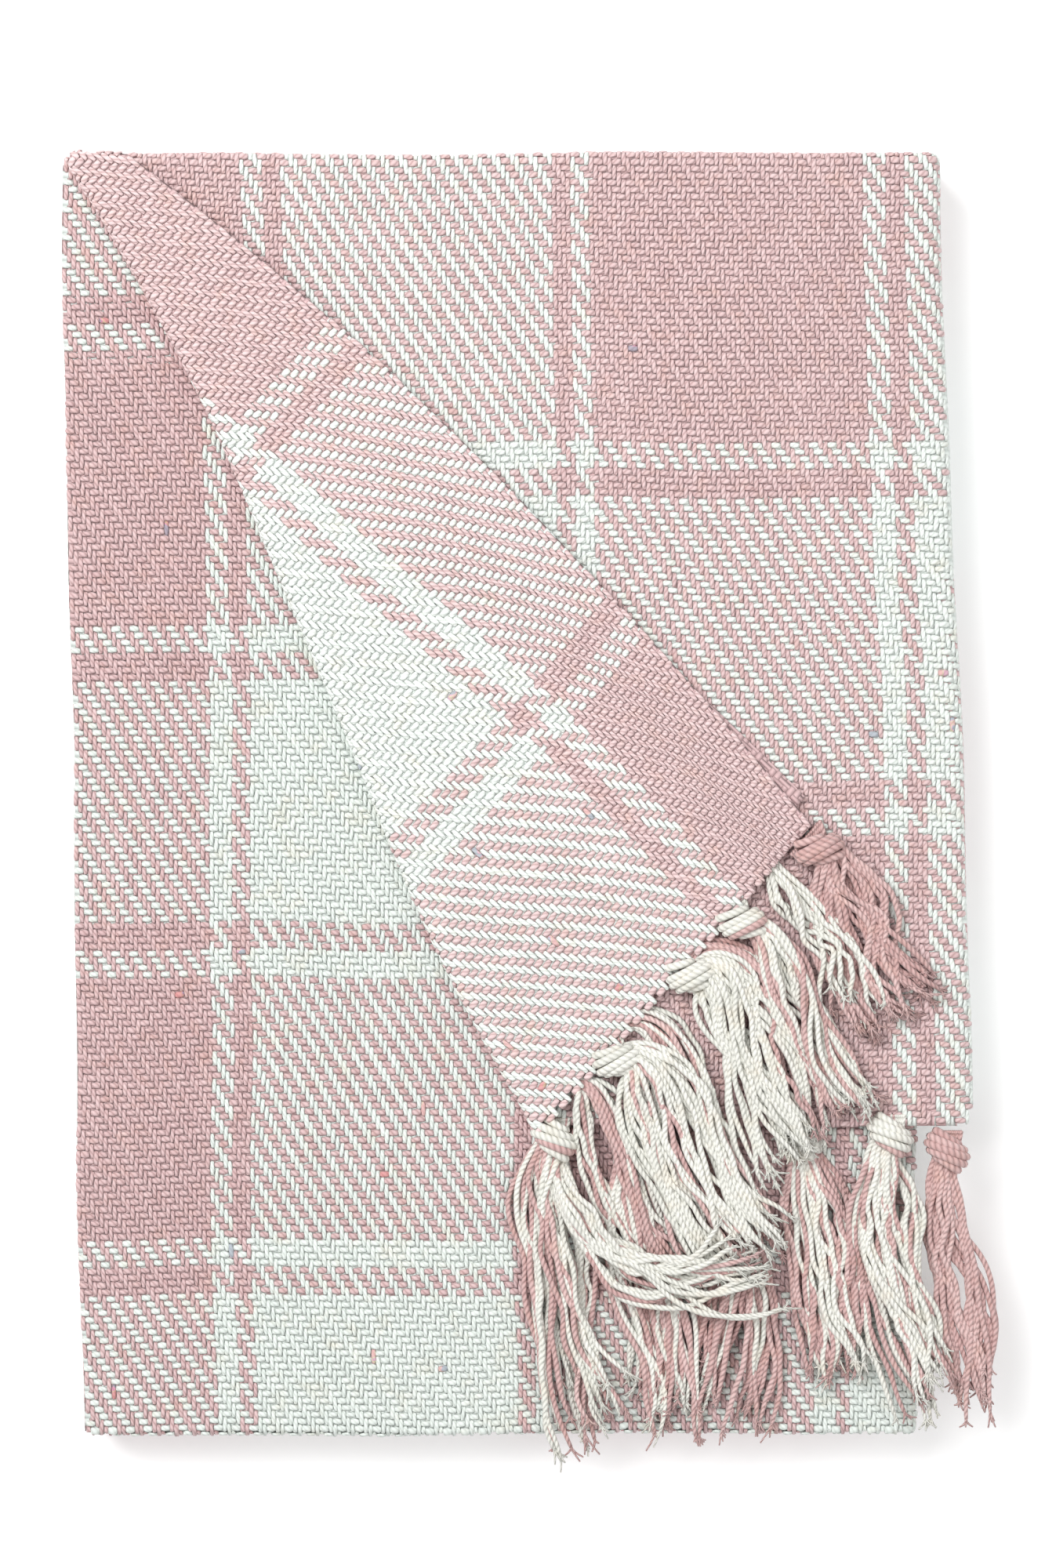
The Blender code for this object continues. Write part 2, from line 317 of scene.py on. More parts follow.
def turned_plan(u, v):
    """Plan place of the lower ply's cloth coordinates: u from its selvedge, v from its fringe.
    Near the fringe the outermost warps are drawn together."""
    near_selvedge = eased(u / (52 * MM))
    u = u - SELVEDGE_DRAW * np.clip(1 - v / DRAWN_LENGTH, 0, 1) * near_selvedge
    x = TURNED_TIP[0] + TURNED_WEFT[0] * u + TURNED_WARP[0] * v
    y = TURNED_TIP[1] + TURNED_WEFT[1] * u + TURNED_WARP[1] * v
    return x, y


def turned_cloth(u, v):
    """Lower ply's surface from its cloth coordinates."""
    return turned_leaf(*turned_plan(u, v))


def base_cloth(u, v):
    """Upper ply of the long leaf from cloth coordinates: u from its left, v from the far end.
    Its warps follow its tapering sides."""
    front_y = np.minimum(v, 2 * PANEL_DEPTH - v)
    left = left_side(front_y)
    width = right_side(front_y, np.zeros_like(v, bool)) - left
    return base_upper(left + u * width / PANEL_WIDTH, v)


def base_upper(x, y):
    """Middle surface of the base leaf's upper ply. Past the front fold's centre line it goes
    round half a circle and back underneath."""
    centre = PANEL_DEPTH - FRONT_NOSE_INSET
    radius = 0.5 * PLY
    past = np.clip((y - centre) / radius, 0, math.pi)
    under = np.clip(y - centre - math.pi * radius, 0, None)
    new_y = np.where(y > centre, centre + radius * np.sin(past) - under, y)
    z = (TOP_PANEL_LEVEL + 0.5) * LEAF + radius * np.where(y > centre, np.cos(past), 1.0)
    nose = right_side(new_y, np.zeros_like(x, bool)) - NOSE_INSET
    new_x, z = side_nose(x, z, nose, TOP_PANEL_LEVEL * LEAF)
    return to_frame(new_x, new_y, z)


# ---------------------------------------------------------------- meshes

def finish_mesh(name, points, quads, tris=None, quad_uv=None, tint=None, smooth=True):
    """A mesh object of quads (m, 4) and triangles (k, 3) over points (n, 3), with a UV for each
    quad's corners (m, 4, 2) and a tint for each point (n, 4). The triangles' UV stays at zero."""
    tris = np.zeros((0, 3), np.int32) if tris is None else tris
    count = len(quads) + len(tris)
    corners = np.concatenate((quads.ravel(), tris.ravel())).astype(np.int32)
    starts = np.concatenate((np.arange(len(quads)) * 4, quads.size + np.arange(len(tris)) * 3))
    mesh = bpy.data.meshes.new(name)
    mesh.vertices.add(len(points))
    mesh.vertices.foreach_set("co", np.asarray(points, np.float32).ravel())
    mesh.loops.add(len(corners))
    mesh.loops.foreach_set("vertex_index", corners)
    mesh.polygons.add(count)
    mesh.polygons.foreach_set("loop_start", starts.astype(np.int32))
    if quad_uv is not None:
        uv = np.zeros((len(corners), 2), np.float32)
        uv[:quads.size] = quad_uv.reshape(-1, 2)
        mesh.uv_layers.new(name="cloth").data.foreach_set("uv", uv.ravel())
    if tint is not None:
        attribute = mesh.attributes.new("tint", 'FLOAT_COLOR', 'POINT')
        attribute.data.foreach_set("color", np.asarray(tint, np.float32).ravel())
    mesh.polygons.foreach_set("use_smooth", np.full(count, smooth))
    mesh.update(calc_edges=True)
    mesh.validate()
    obj = bpy.data.objects.new(name, mesh)
    bpy.context.scene.collection.objects.link(obj)
    return obj


def grid_sheet(name, points, cloth_uv, flip=False):
    """A sheet from a grid of points (rows, columns, 3), given its thickness by Solidify."""
    rows, columns = points.shape[:2]
    index = np.arange(rows * columns).reshape(rows, columns)
    corners = (index[:-1, :-1], index[1:, :-1], index[1:, 1:], index[:-1, 1:])
    faces = np.stack(corners, axis=-1).reshape(-1, 4)
    if flip:
        faces = faces[:, ::-1]
    uv = cloth_uv.reshape(-1, 2)[faces]
    obj = finish_mesh(name, points.reshape(-1, 3), faces, quad_uv=uv)
    body = obj.modifiers.new("ply", 'SOLIDIFY')
    body.thickness = SHEET_THICKNESS
    body.offset = 0.0
    return obj


def tubes(name, paths, radii, sides, tint):
    """Closed tubes: each path (k, m, 3) carries a ring of points at every station, turned about
    its own direction, and each end closes on a pole. UV is length along and share around."""
    count, stations = paths.shape[:2]
    along = np.gradient(paths, axis=1)
    along /= np.maximum(np.linalg.norm(along, axis=2, keepdims=True), 1e-9)
    up = np.array([0.08, 0.05, 1.0])
    side = np.cross(along, up)
    side /= np.maximum(np.linalg.norm(side, axis=2, keepdims=True), 1e-9)
    top = np.cross(side, along)
    angle = np.arange(sides) / sides * 2 * math.pi
    ring = (side[:, :, None, :] * np.cos(angle)[None, None, :, None]
            + top[:, :, None, :] * np.sin(angle)[None, None, :, None])
    body = paths[:, :, None, :] + ring * radii[:, :, None, None]
    head = paths[:, :1] - along[:, :1] * radii[:, :1, None] * 0.6
    tail = paths[:, -1:] + along[:, -1:] * radii[:, -1:, None] * 0.6
    points = np.concatenate((head, body.reshape(count, -1, 3), tail), axis=1)
    per = points.shape[1]
    index = 1 + np.arange(stations * sides).reshape(stations, sides)
    turned = np.roll(index, -1, axis=1)
    quads = np.stack((index[:-1], turned[:-1], turned[1:], index[1:]), axis=-1).reshape(-1, 4)
    head_cap = np.stack((np.zeros(sides, int), turned[0], index[0]), axis=-1)
    tail_cap = np.stack((np.full(sides, per - 1), index[-1], turned[-1]), axis=-1)
    tri = np.concatenate((head_cap, tail_cap))
    step = np.linalg.norm(np.diff(paths, axis=1), axis=2)
    length = np.concatenate((np.zeros((count, 1)), np.cumsum(step, axis=1)), axis=1)
    inside_out = signed_volume(points[0], quads, tri) < 0
    if inside_out:
        quads, tri = quads[:, ::-1], tri[:, ::-1]
    start = np.arange(count)[:, None, None] * per
    all_quads = (quads[None] + start).reshape(-1, 4)
    all_tris = (tri[None] + start).reshape(-1, 3)
    around = np.arange(sides + 1) / sides
    q_uv = np.empty((count, stations - 1, sides, 4, 2), np.float32)
    for corner, (next_ring, next_side) in enumerate(((0, 0), (0, 1), (1, 1), (1, 0))):
        q_uv[..., corner, 0] = length[:, next_ring:stations - 1 + next_ring, None]
        q_uv[..., corner, 1] = around[next_side:sides + next_side]
    if inside_out:
        q_uv = q_uv[..., ::-1, :]
    return finish_mesh(name, points.reshape(-1, 3), all_quads, all_tris,
                       q_uv.reshape(-1, 4, 2), np.repeat(tint, per, axis=0))


# ---------------------------------------------------------------- check pattern

# Widths of the weft's thin pink and thin white stripes: of the floats, and of the cloth's ground
THIN_WEFT_STRIPES = (0.0100, 0.0098)
THIN_GROUND_STRIPES = (0.0098, 0.0100)


def stripe_share(position, first, wide_pink, wide_white, thin_pink, thin_white):
    """1 where the yarn at a position is pink and 0 where it is white. From first on, the order
    repeats: thin white, thin pink, wide white, thin pink, thin white, wide pink."""
    edges = np.cumsum((thin_white, thin_pink, wide_white, thin_pink, thin_white, wide_pink))
    place = np.mod(position - first, edges[-1])
    order = np.searchsorted(edges, place, side='right')
    return np.array([0.0, 1.0, 0.0, 1.0, 0.0, 1.0])[np.clip(order, 0, 5)]


def warp_colour(u, selvedge=0.0):
    """Share of pink of the warp yarn at u, counted from the selvedge."""
    weave = bpy.context.scene.throw_weave
    return stripe_share(u - selvedge, weave.edge_stripe, weave.wide_pink, weave.wide_white,
                        weave.thin_pink, weave.thin_white)


def weft_colour(y, first, wide_pink, wide_white):
    """Share of pink of the weft yarn at y."""
    return stripe_share(y, first, wide_pink, wide_white, *THIN_WEFT_STRIPES)


# ---------------------------------------------------------------- yarn floats

RING_ALONG = np.array([-0.82, -0.33, 0.33, 0.82])
RING_ANGLE = np.radians([0.0, 58.0, 122.0, 180.0, 270.0])
RINGS = len(RING_ALONG)
SPOKES = len(RING_ANGLE)
FLOAT_POINTS = RINGS * SPOKES + 2
MOST_FLOATS_IN_A_PIECE = 4700


def float_shape(half_length, half_width, rise):
    """One float of yarn lying along its own axis: rings of five points whose width and crest
    shrink towards both ends, closed on a pole at each end. Returns along, across and height."""
    bulge = np.sqrt(np.clip(1 - RING_ALONG ** 2, 0, 1))
    width = half_width * (0.55 + 0.45 * bulge)
    crest = rise * bulge
    along = np.repeat(RING_ALONG * half_length, SPOKES)
    across = (width[:, None] * np.cos(RING_ANGLE)[None, :]).ravel()
    lift = np.where(np.sin(RING_ANGLE) >= 0, 1.0, 0.5)
    height = ((crest - 0.42 * rise)[:, None]
              + half_width * 0.60 * (np.sin(RING_ANGLE) * lift)[None, :]).ravel()
    along = np.concatenate(([-half_length], along, [half_length]))
    across = np.concatenate(([0.0], across, [0.0]))
    height = np.concatenate(([-0.55 * rise], height, [-0.55 * rise]))
    return along, across, height


def float_faces():
    """Quads between the rings of one float and triangles to its two poles."""
    rings = 1 + np.arange(RINGS * SPOKES).reshape(RINGS, SPOKES)
    turned = np.roll(rings, -1, axis=1)
    quads = np.stack((rings[:-1], rings[1:], turned[1:], turned[:-1]), axis=-1).reshape(-1, 4)
    head = np.stack((np.zeros(SPOKES, int), rings[0], turned[0]), axis=-1)
    tail = np.stack((np.full(SPOKES, FLOAT_POINTS - 1), turned[-1], rings[-1]), axis=-1)
    return quads, np.concatenate((head, tail))


def float_uv(along):
    """UV of one float's quads: length along the yarn, and the share of the way round it."""
    quads, _ = float_faces()
    around = np.concatenate(([0.0], np.tile(np.arange(SPOKES) / SPOKES, RINGS), [0.0]))
    uv = np.stack((along[quads], around[quads]), axis=-1)
    wraps = (uv[..., 1].max(axis=1) > 0.75) & (uv[..., 1].min(axis=1) < 0.01)
    uv[..., 1] += wraps[:, None] * (uv[..., 1] < 0.01)
    return uv


def signed_volume(points, quads, tris):
    """Volume inside one closed shape, negative if its faces look inwards."""
    halves = np.concatenate((quads[:, [0, 1, 2]], quads[:, [0, 2, 3]], tris))
    a, b, c = (points[halves[:, k]] - points.mean(axis=0) for k in range(3))
    return float((np.cross(a, b) * c).sum())


def lay_floats(name, cloth, outward, u, v, lengthwise, shape, tint):
    """Copies of one float shape at cloth places (u, v). cloth carries cloth coordinates to the
    frame; outward is 1 or -1 for the side of u x v they lie on. lengthwise floats run along v
    and the others along u. Each is lifted off the surface along its normal."""
    along, wide, height = shape
    wobble = np.random.default_rng(len(u)).normal(0, 1, (len(u), 3))
    lean = wobble[:, :1] * 0.05
    broad = wide * (1 + wobble[:, 1:2] * 0.06) + lean * along
    if lengthwise:
        at_u, at_v = u[:, None] + broad, v[:, None] + along
    else:
        at_u, at_v = u[:, None] + along, v[:, None] + broad
    step = 0.2 * MM
    by_u = cloth(at_u + step, at_v) - cloth(at_u - step, at_v)
    by_v = cloth(at_u, at_v + step) - cloth(at_u, at_v - step)
    normal = np.cross(by_u, by_v) * outward
    normal /= np.maximum(np.linalg.norm(normal, axis=-1, keepdims=True), 1e-12)
    lift = SHEET_THICKNESS / 2 + height * (1 + 0.10 * wobble[:, 2:3])
    points = cloth(at_u, at_v) + normal * lift[..., None]
    quads, tris = float_faces()
    uv_one = float_uv(along)
    if signed_volume(points[len(points) // 2], quads, tris) < 0:
        quads, tris, uv_one = quads[:, ::-1], tris[:, ::-1], uv_one[:, ::-1]
    start = np.arange(len(u))[:, None, None] * FLOAT_POINTS
    all_quads = (quads[None] + start).reshape(-1, 4)
    all_tris = (tris[None] + start).reshape(-1, 3)
    uv = np.broadcast_to(uv_one, (len(u), *uv_one.shape)).copy()
    uv[..., 0] += np.random.default_rng(len(u) + 1).uniform(0, 0.01, (len(u), 1, 1))
    return finish_mesh(name, points.reshape(-1, 3), all_quads, all_tris, uv.reshape(-1, 4, 2),
                       np.repeat(tint, FLOAT_POINTS, axis=0))


def yarn_tints(pinkness, yarn_index, seed):
    """Tint per float: red is the share of pink, green the shade of the yarn, blue a random
    number and alpha 1. The shade is shared along a yarn and varies a little per float."""
    rng = np.random.default_rng(seed)
    by_yarn = rng.normal(0, 0.35, 4096)[np.mod(yarn_index, 4096)]
    shade = 0.5 + 0.13 * by_yarn + rng.normal(0, 0.07, len(pinkness))
    lone = rng.uniform(0, 1, len(pinkness))
    return np.stack((pinkness, np.clip(shade, 0, 1), lone, np.ones(len(pinkness))), axis=-1)


def twill_cells(width, length, slope):
    """Starts (warp number, weft number) of all warp floats and weft floats of a 2/2 twill on a
    plan of that size. slope 1 runs the lines down to the right, -1 down to the left."""
    weave = bpy.context.scene.throw_weave
    warps = int(width / weave.warp_pitch)
    wefts = int(length / weave.weft_pitch)
    i, j = np.meshgrid(np.arange(-12, warps + 12), np.arange(-12, wefts + 12), indexing='ij')
    phase = np.mod(j - slope * i, 4)
    warp_starts = np.argwhere(phase == 0) - 12
    weft_starts = np.argwhere(phase == (3 if slope > 0 else 2)) - 12
    return warp_starts, weft_starts


def weave_ply(name, cloth, outward, width, length, slope, keep, warp_pink, weft_pink,
              shade, seed):
    """Lay the floats of one visible face. keep(u, v) says which cloth places show, and
    warp_pink(u) and weft_pink(v) the share of pink in a yarn. shade is added to every float's
    shade: painted light that makes the whole face lighter or darker."""
    weave = bpy.context.scene.throw_weave
    across, down = weave.warp_pitch, weave.weft_pitch
    warp_starts, weft_starts = twill_cells(width, length, slope)
    warp_shape = float_shape(down * 1.16, across * 0.56, 0.60 * MM)
    weft_shape = float_shape(across * 1.14, down * 0.47, 0.50 * MM)
    pieces = []
    for kind, starts, shape in (("warp", warp_starts, warp_shape),
                                ("weft", weft_starts, weft_shape)):
        lengthwise = kind == "warp"
        u = (starts[:, 0] + (0.5 if lengthwise else 1.0)) * across
        v = (starts[:, 1] + (1.0 if lengthwise else 0.5)) * down
        inside = (u > 0) & (u < width) & (v > 0) & (v < length) & keep(u, v)
        u, v = u[inside], v[inside]
        pink = warp_pink(u) if lengthwise else weft_pink(v)
        number = np.round(u / across if lengthwise else v / down).astype(int)
        tint = yarn_tints(pink, number + (0 if lengthwise else 500), seed)
        # Painted light: the face's shade offset lightens or darkens all its floats.
        tint[:, 1] = np.clip(tint[:, 1] + shade, 0, 1)
        drift_u = 0.35 * MM * np.sin(41 * v + 0.9) + 0.22 * MM * np.sin(97 * v + 13 * u)
        drift_v = 0.45 * MM * np.sin(37 * u + 2.2) + 0.28 * MM * np.sin(83 * u + 17 * v)
        parts = max(1, math.ceil(len(u) / MOST_FLOATS_IN_A_PIECE))
        order = np.argsort(v, kind="stable")
        for part, chosen in enumerate(np.array_split(order, parts), start=1):
            pieces.append(lay_floats(f"{name}_{kind}_yarns_{part}", cloth, outward,
                                     (u + drift_u)[chosen], (v + drift_v)[chosen], lengthwise,
                                     shape, tint[chosen]))
    return pieces


# ---------------------------------------------------------------- materials

def new_material(name):
    """A new node material, its node tree and its shader."""
    material = bpy.data.materials.new(name)
    material.use_nodes = True
    tree = material.node_tree
    return material, tree, tree.nodes["Principled BSDF"]


def add(tree, kind, **settings):
    """A new node with those settings."""
    node = tree.nodes.new(kind)
    for key, value in settings.items():
        setattr(node, key, value)
    return node


def math_node(tree, operation, first, second=None, third=None):
    """Output of a Math node whose inputs are numbers or other nodes' outputs."""
    node = add(tree, 'ShaderNodeMath', operation=operation)
    for socket, value in zip(node.inputs, (first, second, third)):
        if value is None:
            continue
        if isinstance(value, (int, float)):
            socket.default_value = value
        else:
            tree.links.new(value, socket)
    return node.outputs[0]


def mix_colour(tree, factor, first, second, blend='MIX'):
    """Output of a colour Mix node whose inputs are numbers, colours or other outputs."""
    node = add(tree, 'ShaderNodeMix', data_type='RGBA', blend_type=blend)
    for socket, value in ((node.inputs[0], factor), (node.inputs[6], first),
                          (node.inputs[7], second)):
        if isinstance(value, (int, float)):
            socket.default_value = value
        elif isinstance(value, (tuple, list)):
            socket.default_value = (*value[:3], 1.0)
        else:
            tree.links.new(value, socket)
    return node.outputs[2]


def yarn_material(name, twist, depth, cast=(1.0, 1.0, 1.0)):
    """Twisted cotton yarn. Colour is mixed from the piece's tint, with slow blotches, short
    fibres and rare coloured flecks. The ply twist is a slanted ridge in UV whose grooves are
    darkened in colour: painted shade."""
    colours = bpy.context.scene.throw_colours
    material, tree, shader = new_material(name)
    tint = add(tree, 'ShaderNodeAttribute', attribute_name="tint")
    parts = add(tree, 'ShaderNodeSeparateColor')
    tree.links.new(tint.outputs["Color"], parts.inputs[0])
    pinkness, shade, lone = parts.outputs[0], parts.outputs[1], parts.outputs[2]
    place = add(tree, 'ShaderNodeTexCoord')

    def noise(scale, detail):
        node = add(tree, 'ShaderNodeTexNoise')
        node.inputs["Scale"].default_value = scale
        node.inputs["Detail"].default_value = detail
        tree.links.new(place.outputs["Object"], node.inputs["Vector"])
        return node.outputs["Fac"]

    uv = add(tree, 'ShaderNodeUVMap', uv_map="cloth")
    split = add(tree, 'ShaderNodeSeparateXYZ')
    tree.links.new(uv.outputs[0], split.inputs[0])
    phase = math_node(tree, 'MULTIPLY', split.outputs[0], math.pi / twist)
    phase = math_node(tree, 'MULTIPLY_ADD', split.outputs[1], 2 * math.pi, phase)
    ridge = math_node(tree, 'ABSOLUTE', math_node(tree, 'SINE', phase))

    white = tuple(part * tone for part, tone in zip(colours.white, cast))
    pink = tuple(part * tone for part, tone in zip(colours.pink, cast))
    base = mix_colour(tree, pinkness, white, pink)
    dark = mix_colour(tree, pinkness, mix_colour(tree, 1.0, base, (0.84, 0.85, 0.84), 'MULTIPLY'),
                      mix_colour(tree, 1.0, base, (0.80, 0.77, 0.77), 'MULTIPLY'))
    light = mix_colour(tree, 0.20, base, (1.0, 0.98, 0.96))
    tone = math_node(tree, 'MULTIPLY_ADD', noise(320.0, 3.0), 0.9, -0.45)
    # The tint's shade is each yarn's own tone plus the painted light or shade of its face.
    tone = math_node(tree, 'ADD', tone, shade)
    varied = mix_colour(tree, add_clamp(tree, tone), dark, light)
    warm = mix_colour(tree, add_clamp(tree, math_node(
        tree, 'MULTIPLY_ADD', noise(140.0, 2.0), 3.0, -1.55)), varied,
        mix_colour(tree, 1.0, varied, (1.0, 0.93, 0.86), 'MULTIPLY'))
    # Painted shade in the twist's grooves: there the colour is multiplied darker, more so for pink
    # yarn.
    groove_shade_tint = mix_colour(tree, pinkness, (0.82, 0.82, 0.80), (0.62, 0.54, 0.53))
    groove = mix_colour(tree, 1.0, warm, groove_shade_tint, 'MULTIPLY')
    twisted = mix_colour(tree, math_node(tree, 'POWER', ridge, 0.6), groove, warm)
    rare = math_node(tree, 'GREATER_THAN', lone, 0.9985)
    hue = add(tree, 'ShaderNodeValToRGB')
    ramp = hue.color_ramp
    ramp.interpolation = 'CONSTANT'
    ramp.elements[0].color = (0.62, 0.20, 0.20, 1)
    ramp.elements[1].position = 0.46
    ramp.elements[1].color = (0.55, 0.40, 0.20, 1)
    for position, colour in ((0.50, (0.60, 0.18, 0.34, 1)), (0.54, (0.20, 0.23, 0.32, 1))):
        element = ramp.elements.new(position)
        element.color = colour
    tree.links.new(noise(210.0, 1.0), hue.inputs[0])
    flecked = mix_colour(tree, math_node(tree, 'MULTIPLY', rare, 0.62), twisted,
                         hue.outputs["Color"])
    tree.links.new(flecked, shader.inputs["Base Color"])
    shader.inputs["Roughness"].default_value = 0.92
    shader.inputs["Specular IOR Level"].default_value = 0.25
    shader.inputs["Sheen Weight"].default_value = 0.25
    shader.inputs["Sheen Roughness"].default_value = 0.6
    height = math_node(tree, 'MULTIPLY_ADD', noise(2600.0, 2.0), 0.35, ridge)
    bump = add(tree, 'ShaderNodeBump')
    bump.inputs["Strength"].default_value = 0.8
    bump.inputs["Distance"].default_value = depth
    tree.links.new(height, bump.inputs["Height"])
    tree.links.new(bump.outputs[0], shader.inputs["Normal"])
    return material


def add_clamp(tree, value):
    """A value kept between 0 and 1."""
    node = add(tree, 'ShaderNodeClamp')
    tree.links.new(value, node.inputs[0])
    return node.outputs[0]


def stripes_in_nodes(tree, position, first, wide_pink, wide_white, thin_pink, thin_white):
    """The stripe order of stripe_share as nodes: the place within the repeat is looked up in a
    colour ramp of six constant bands."""
    widths = (thin_white, thin_pink, wide_white, thin_pink, thin_white, wide_pink)
    repeat = sum(widths)
    moved = math_node(tree, 'SUBTRACT', position, first)
    place = math_node(tree, 'DIVIDE', math_node(tree, 'FLOORED_MODULO', moved, repeat), repeat)
    lookup = add(tree, 'ShaderNodeValToRGB')
    ramp = lookup.color_ramp
    ramp.interpolation = 'CONSTANT'
    edge = 0.0
    for number, width in enumerate(widths):
        value = float(number % 2)
        if number < 2:
            element = ramp.elements[number]
            element.position = edge / repeat
        else:
            element = ramp.elements.new(edge / repeat)
        element.color = (value, value, value, 1.0)
        edge += width
    tree.links.new(place, lookup.inputs[0])
    return lookup.outputs["Color"]


def cloth_material(name, shade, first, wide_pink, wide_white):
    """Twill cloth as a surface: warp and weft cells in UV metres take their stripes' colours,
    and each yarn is a rounded ridge that dips where the other one crosses it. Between the
    yarns the colour is darkened: painted shade. shade scales the whole colour: painted light
    or shade of each face."""
    colours = bpy.context.scene.throw_colours
    weave = bpy.context.scene.throw_weave
    material, tree, shader = new_material(name)
    uv = add(tree, 'ShaderNodeUVMap', uv_map="cloth")
    split = add(tree, 'ShaderNodeSeparateXYZ')
    tree.links.new(uv.outputs[0], split.inputs[0])
    u, v = split.outputs[0], split.outputs[1]
    warp_place = math_node(tree, 'DIVIDE', u, weave.warp_pitch)
    weft_place = math_node(tree, 'DIVIDE', v, weave.weft_pitch)
    warp_number = math_node(tree, 'FLOOR', warp_place)
    weft_number = math_node(tree, 'FLOOR', weft_place)
    phase = math_node(tree, 'FLOORED_MODULO', math_node(
        tree, 'ADD', weft_number, warp_number), 4.0)
    warp_up = math_node(tree, 'LESS_THAN', phase, 1.5)
    warp_pink = stripes_in_nodes(tree, u, weave.edge_stripe, weave.wide_pink, weave.wide_white,
                                 weave.thin_pink, weave.thin_white)
    weft_pink = stripes_in_nodes(tree, v, first, wide_pink, wide_white, *THIN_GROUND_STRIPES)
    pinkness = mix_colour(tree, warp_up, weft_pink, warp_pink)
    # shade scales the ground's colour: painted light or shade for each face.
    base = mix_colour(tree, pinkness, tuple(c * shade for c in colours.white),
                      tuple(c * shade for c in colours.pink))
    noise = add(tree, 'ShaderNodeTexNoise')
    noise.inputs["Scale"].default_value = 900.0
    noise.inputs["Detail"].default_value = 3.0
    tree.links.new(uv.outputs[0], noise.inputs["Vector"])
    warp_ridge = math_node(tree, 'SINE', math_node(
        tree, 'MULTIPLY', math_node(tree, 'FRACT', warp_place), math.pi))
    weft_ridge = math_node(tree, 'SINE', math_node(
        tree, 'MULTIPLY', math_node(tree, 'FRACT', weft_place), math.pi))
    warp_part = math_node(tree, 'MULTIPLY', warp_ridge, warp_up)
    weft_part = math_node(tree, 'MULTIPLY', weft_ridge, math_node(tree, 'SUBTRACT', 1.0, warp_up))
    ridge = math_node(tree, 'ADD', warp_part, weft_part)
    gap = math_node(tree, 'POWER', ridge, 0.45)
    tone = math_node(tree, 'MULTIPLY', gap, math_node(
        tree, 'MULTIPLY_ADD', noise.outputs["Fac"], 0.5, 0.75))
    # Painted shade between the yarns: the colour of the gaps is multiplied darker, more so for pink.
    gap_shade_tint = mix_colour(tree, pinkness, (0.78, 0.80, 0.78), (0.46, 0.41, 0.41))
    gap_shaded = mix_colour(tree, 1.0, base, gap_shade_tint, 'MULTIPLY')
    lit = mix_colour(tree, add_clamp(tree, tone), gap_shaded, base)
    tree.links.new(lit, shader.inputs["Base Color"])
    shader.inputs["Roughness"].default_value = 0.95
    shader.inputs["Specular IOR Level"].default_value = 0.2
    bump = add(tree, 'ShaderNodeBump')
    bump.inputs["Strength"].default_value = 0.9
    bump.inputs["Distance"].default_value = 0.0006
    tree.links.new(ridge, bump.inputs["Height"])
    tree.links.new(bump.outputs[0], shader.inputs["Normal"])
    return material


def material_once(name, make, *settings):
    """The material of that name, made the first time it is asked for."""
    return bpy.data.materials.get(name) or make(name, *settings)


def float_yarn():
    """The yarn of the twill's floats."""
    return material_once("cotton_float", yarn_material, 2.6 * MM, 0.25 * MM)


def tassel_yarn():
    """The yarn of the tassels, looser twisted and a little warmer."""
    return material_once("tassel_yarn", yarn_material, 2.3 * MM, 0.60 * MM, TASSEL_CAST)


def paint(obj, material):
    """Give an object one material."""
    obj.data.materials.clear()
    obj.data.materials.append(material)


# ---------------------------------------------------------------- cloth pieces

def plan_grid(rows, columns, y_from, y_to, x_from, x_to):
    """Grid of plan places; x_from and x_to are functions of y."""
    y = np.linspace(y_from, y_to, rows)[:, None] * np.ones(columns)
    share = np.linspace(0, 1, columns)[None, :]
    x = x_from(y) * (1 - share) + x_to(y) * share
    return x, y


# Weft stripes of each visible face: where the first wide pink stripe ends, then the widths of
# the wide pink and wide white ones
UPPER_STRIPES = (0.1067, 0.1120, 0.1073)
TURNED_STRIPES = (0.0882, 0.1120, 0.1270)
BASE_STRIPES = (0.1758, 0.0985, 0.0906)
TURNED_STRIPE_ORIGIN = 0.351
LEFT_WARPS_LOST = 14 * MM       # how far the upper ply's pattern starts right of its left side


def join_cloth(piece, turns):
    """Ride a piece of cloth on the top panel or, where it turns with the crease, keep it where
    it is with its transform baked into its mesh."""
    if turns:
        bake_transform(piece)
    else:
        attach(piece, "top_panel")


class ThrowUpperPly(bpy.types.Operator):
    """Build the top leaf's upper ply: its sheet and the yarns of its visible face"""
    bl_idname = "throw.upper_ply"
    bl_label = "Top leaf, upper ply"

    def execute(self, context):
        # 0.92 below is painted shade: the ground of this face is darkened.
        cloth = material_once("twill_ground_upper", cloth_material, 0.92, *UPPER_STRIPES)
        yarn = float_yarn()
        far = FAR_NOSE_INSET - 1.5 * PLY * math.pi
        selvedge = 15 * MM
        x, y = plan_grid(150, 120, far, RAGGED_END, lambda y: left_side(y) + selvedge,
                         lambda y: right_side(y, True) - NOSE_INSET)
        uv = np.stack((x / fanning(y) - LEFT_WARPS_LOST, y), axis=-1)
        sheet = grid_sheet("upper_ply", upper_leaf(x, y), uv)
        paint(sheet, cloth)

        def shows(u, v):
            y = RAGGED_END - v
            x = u * fanning(y)
            limit = right_side(y, True) - NOSE_INSET + 6.0 * MM
            return (crease_place(x, y)[1] > ROLL_REACH - 2 * MM) & (x < limit)

        pieces = weave_ply(
            "upper_ply", upper_cloth, 1, PANEL_WIDTH + 5 * MM, RAGGED_END + 5 * MM, -1,
            shows, lambda u: warp_colour(u, LEFT_WARPS_LOST),
            lambda v: weft_colour(RAGGED_END - v, *UPPER_STRIPES), 0.0, 11)
        for piece in pieces:
            paint(piece, yarn)
            join_cloth(piece, False)
        join_cloth(sheet, True)
        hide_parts("top_over")
        return {'FINISHED'}


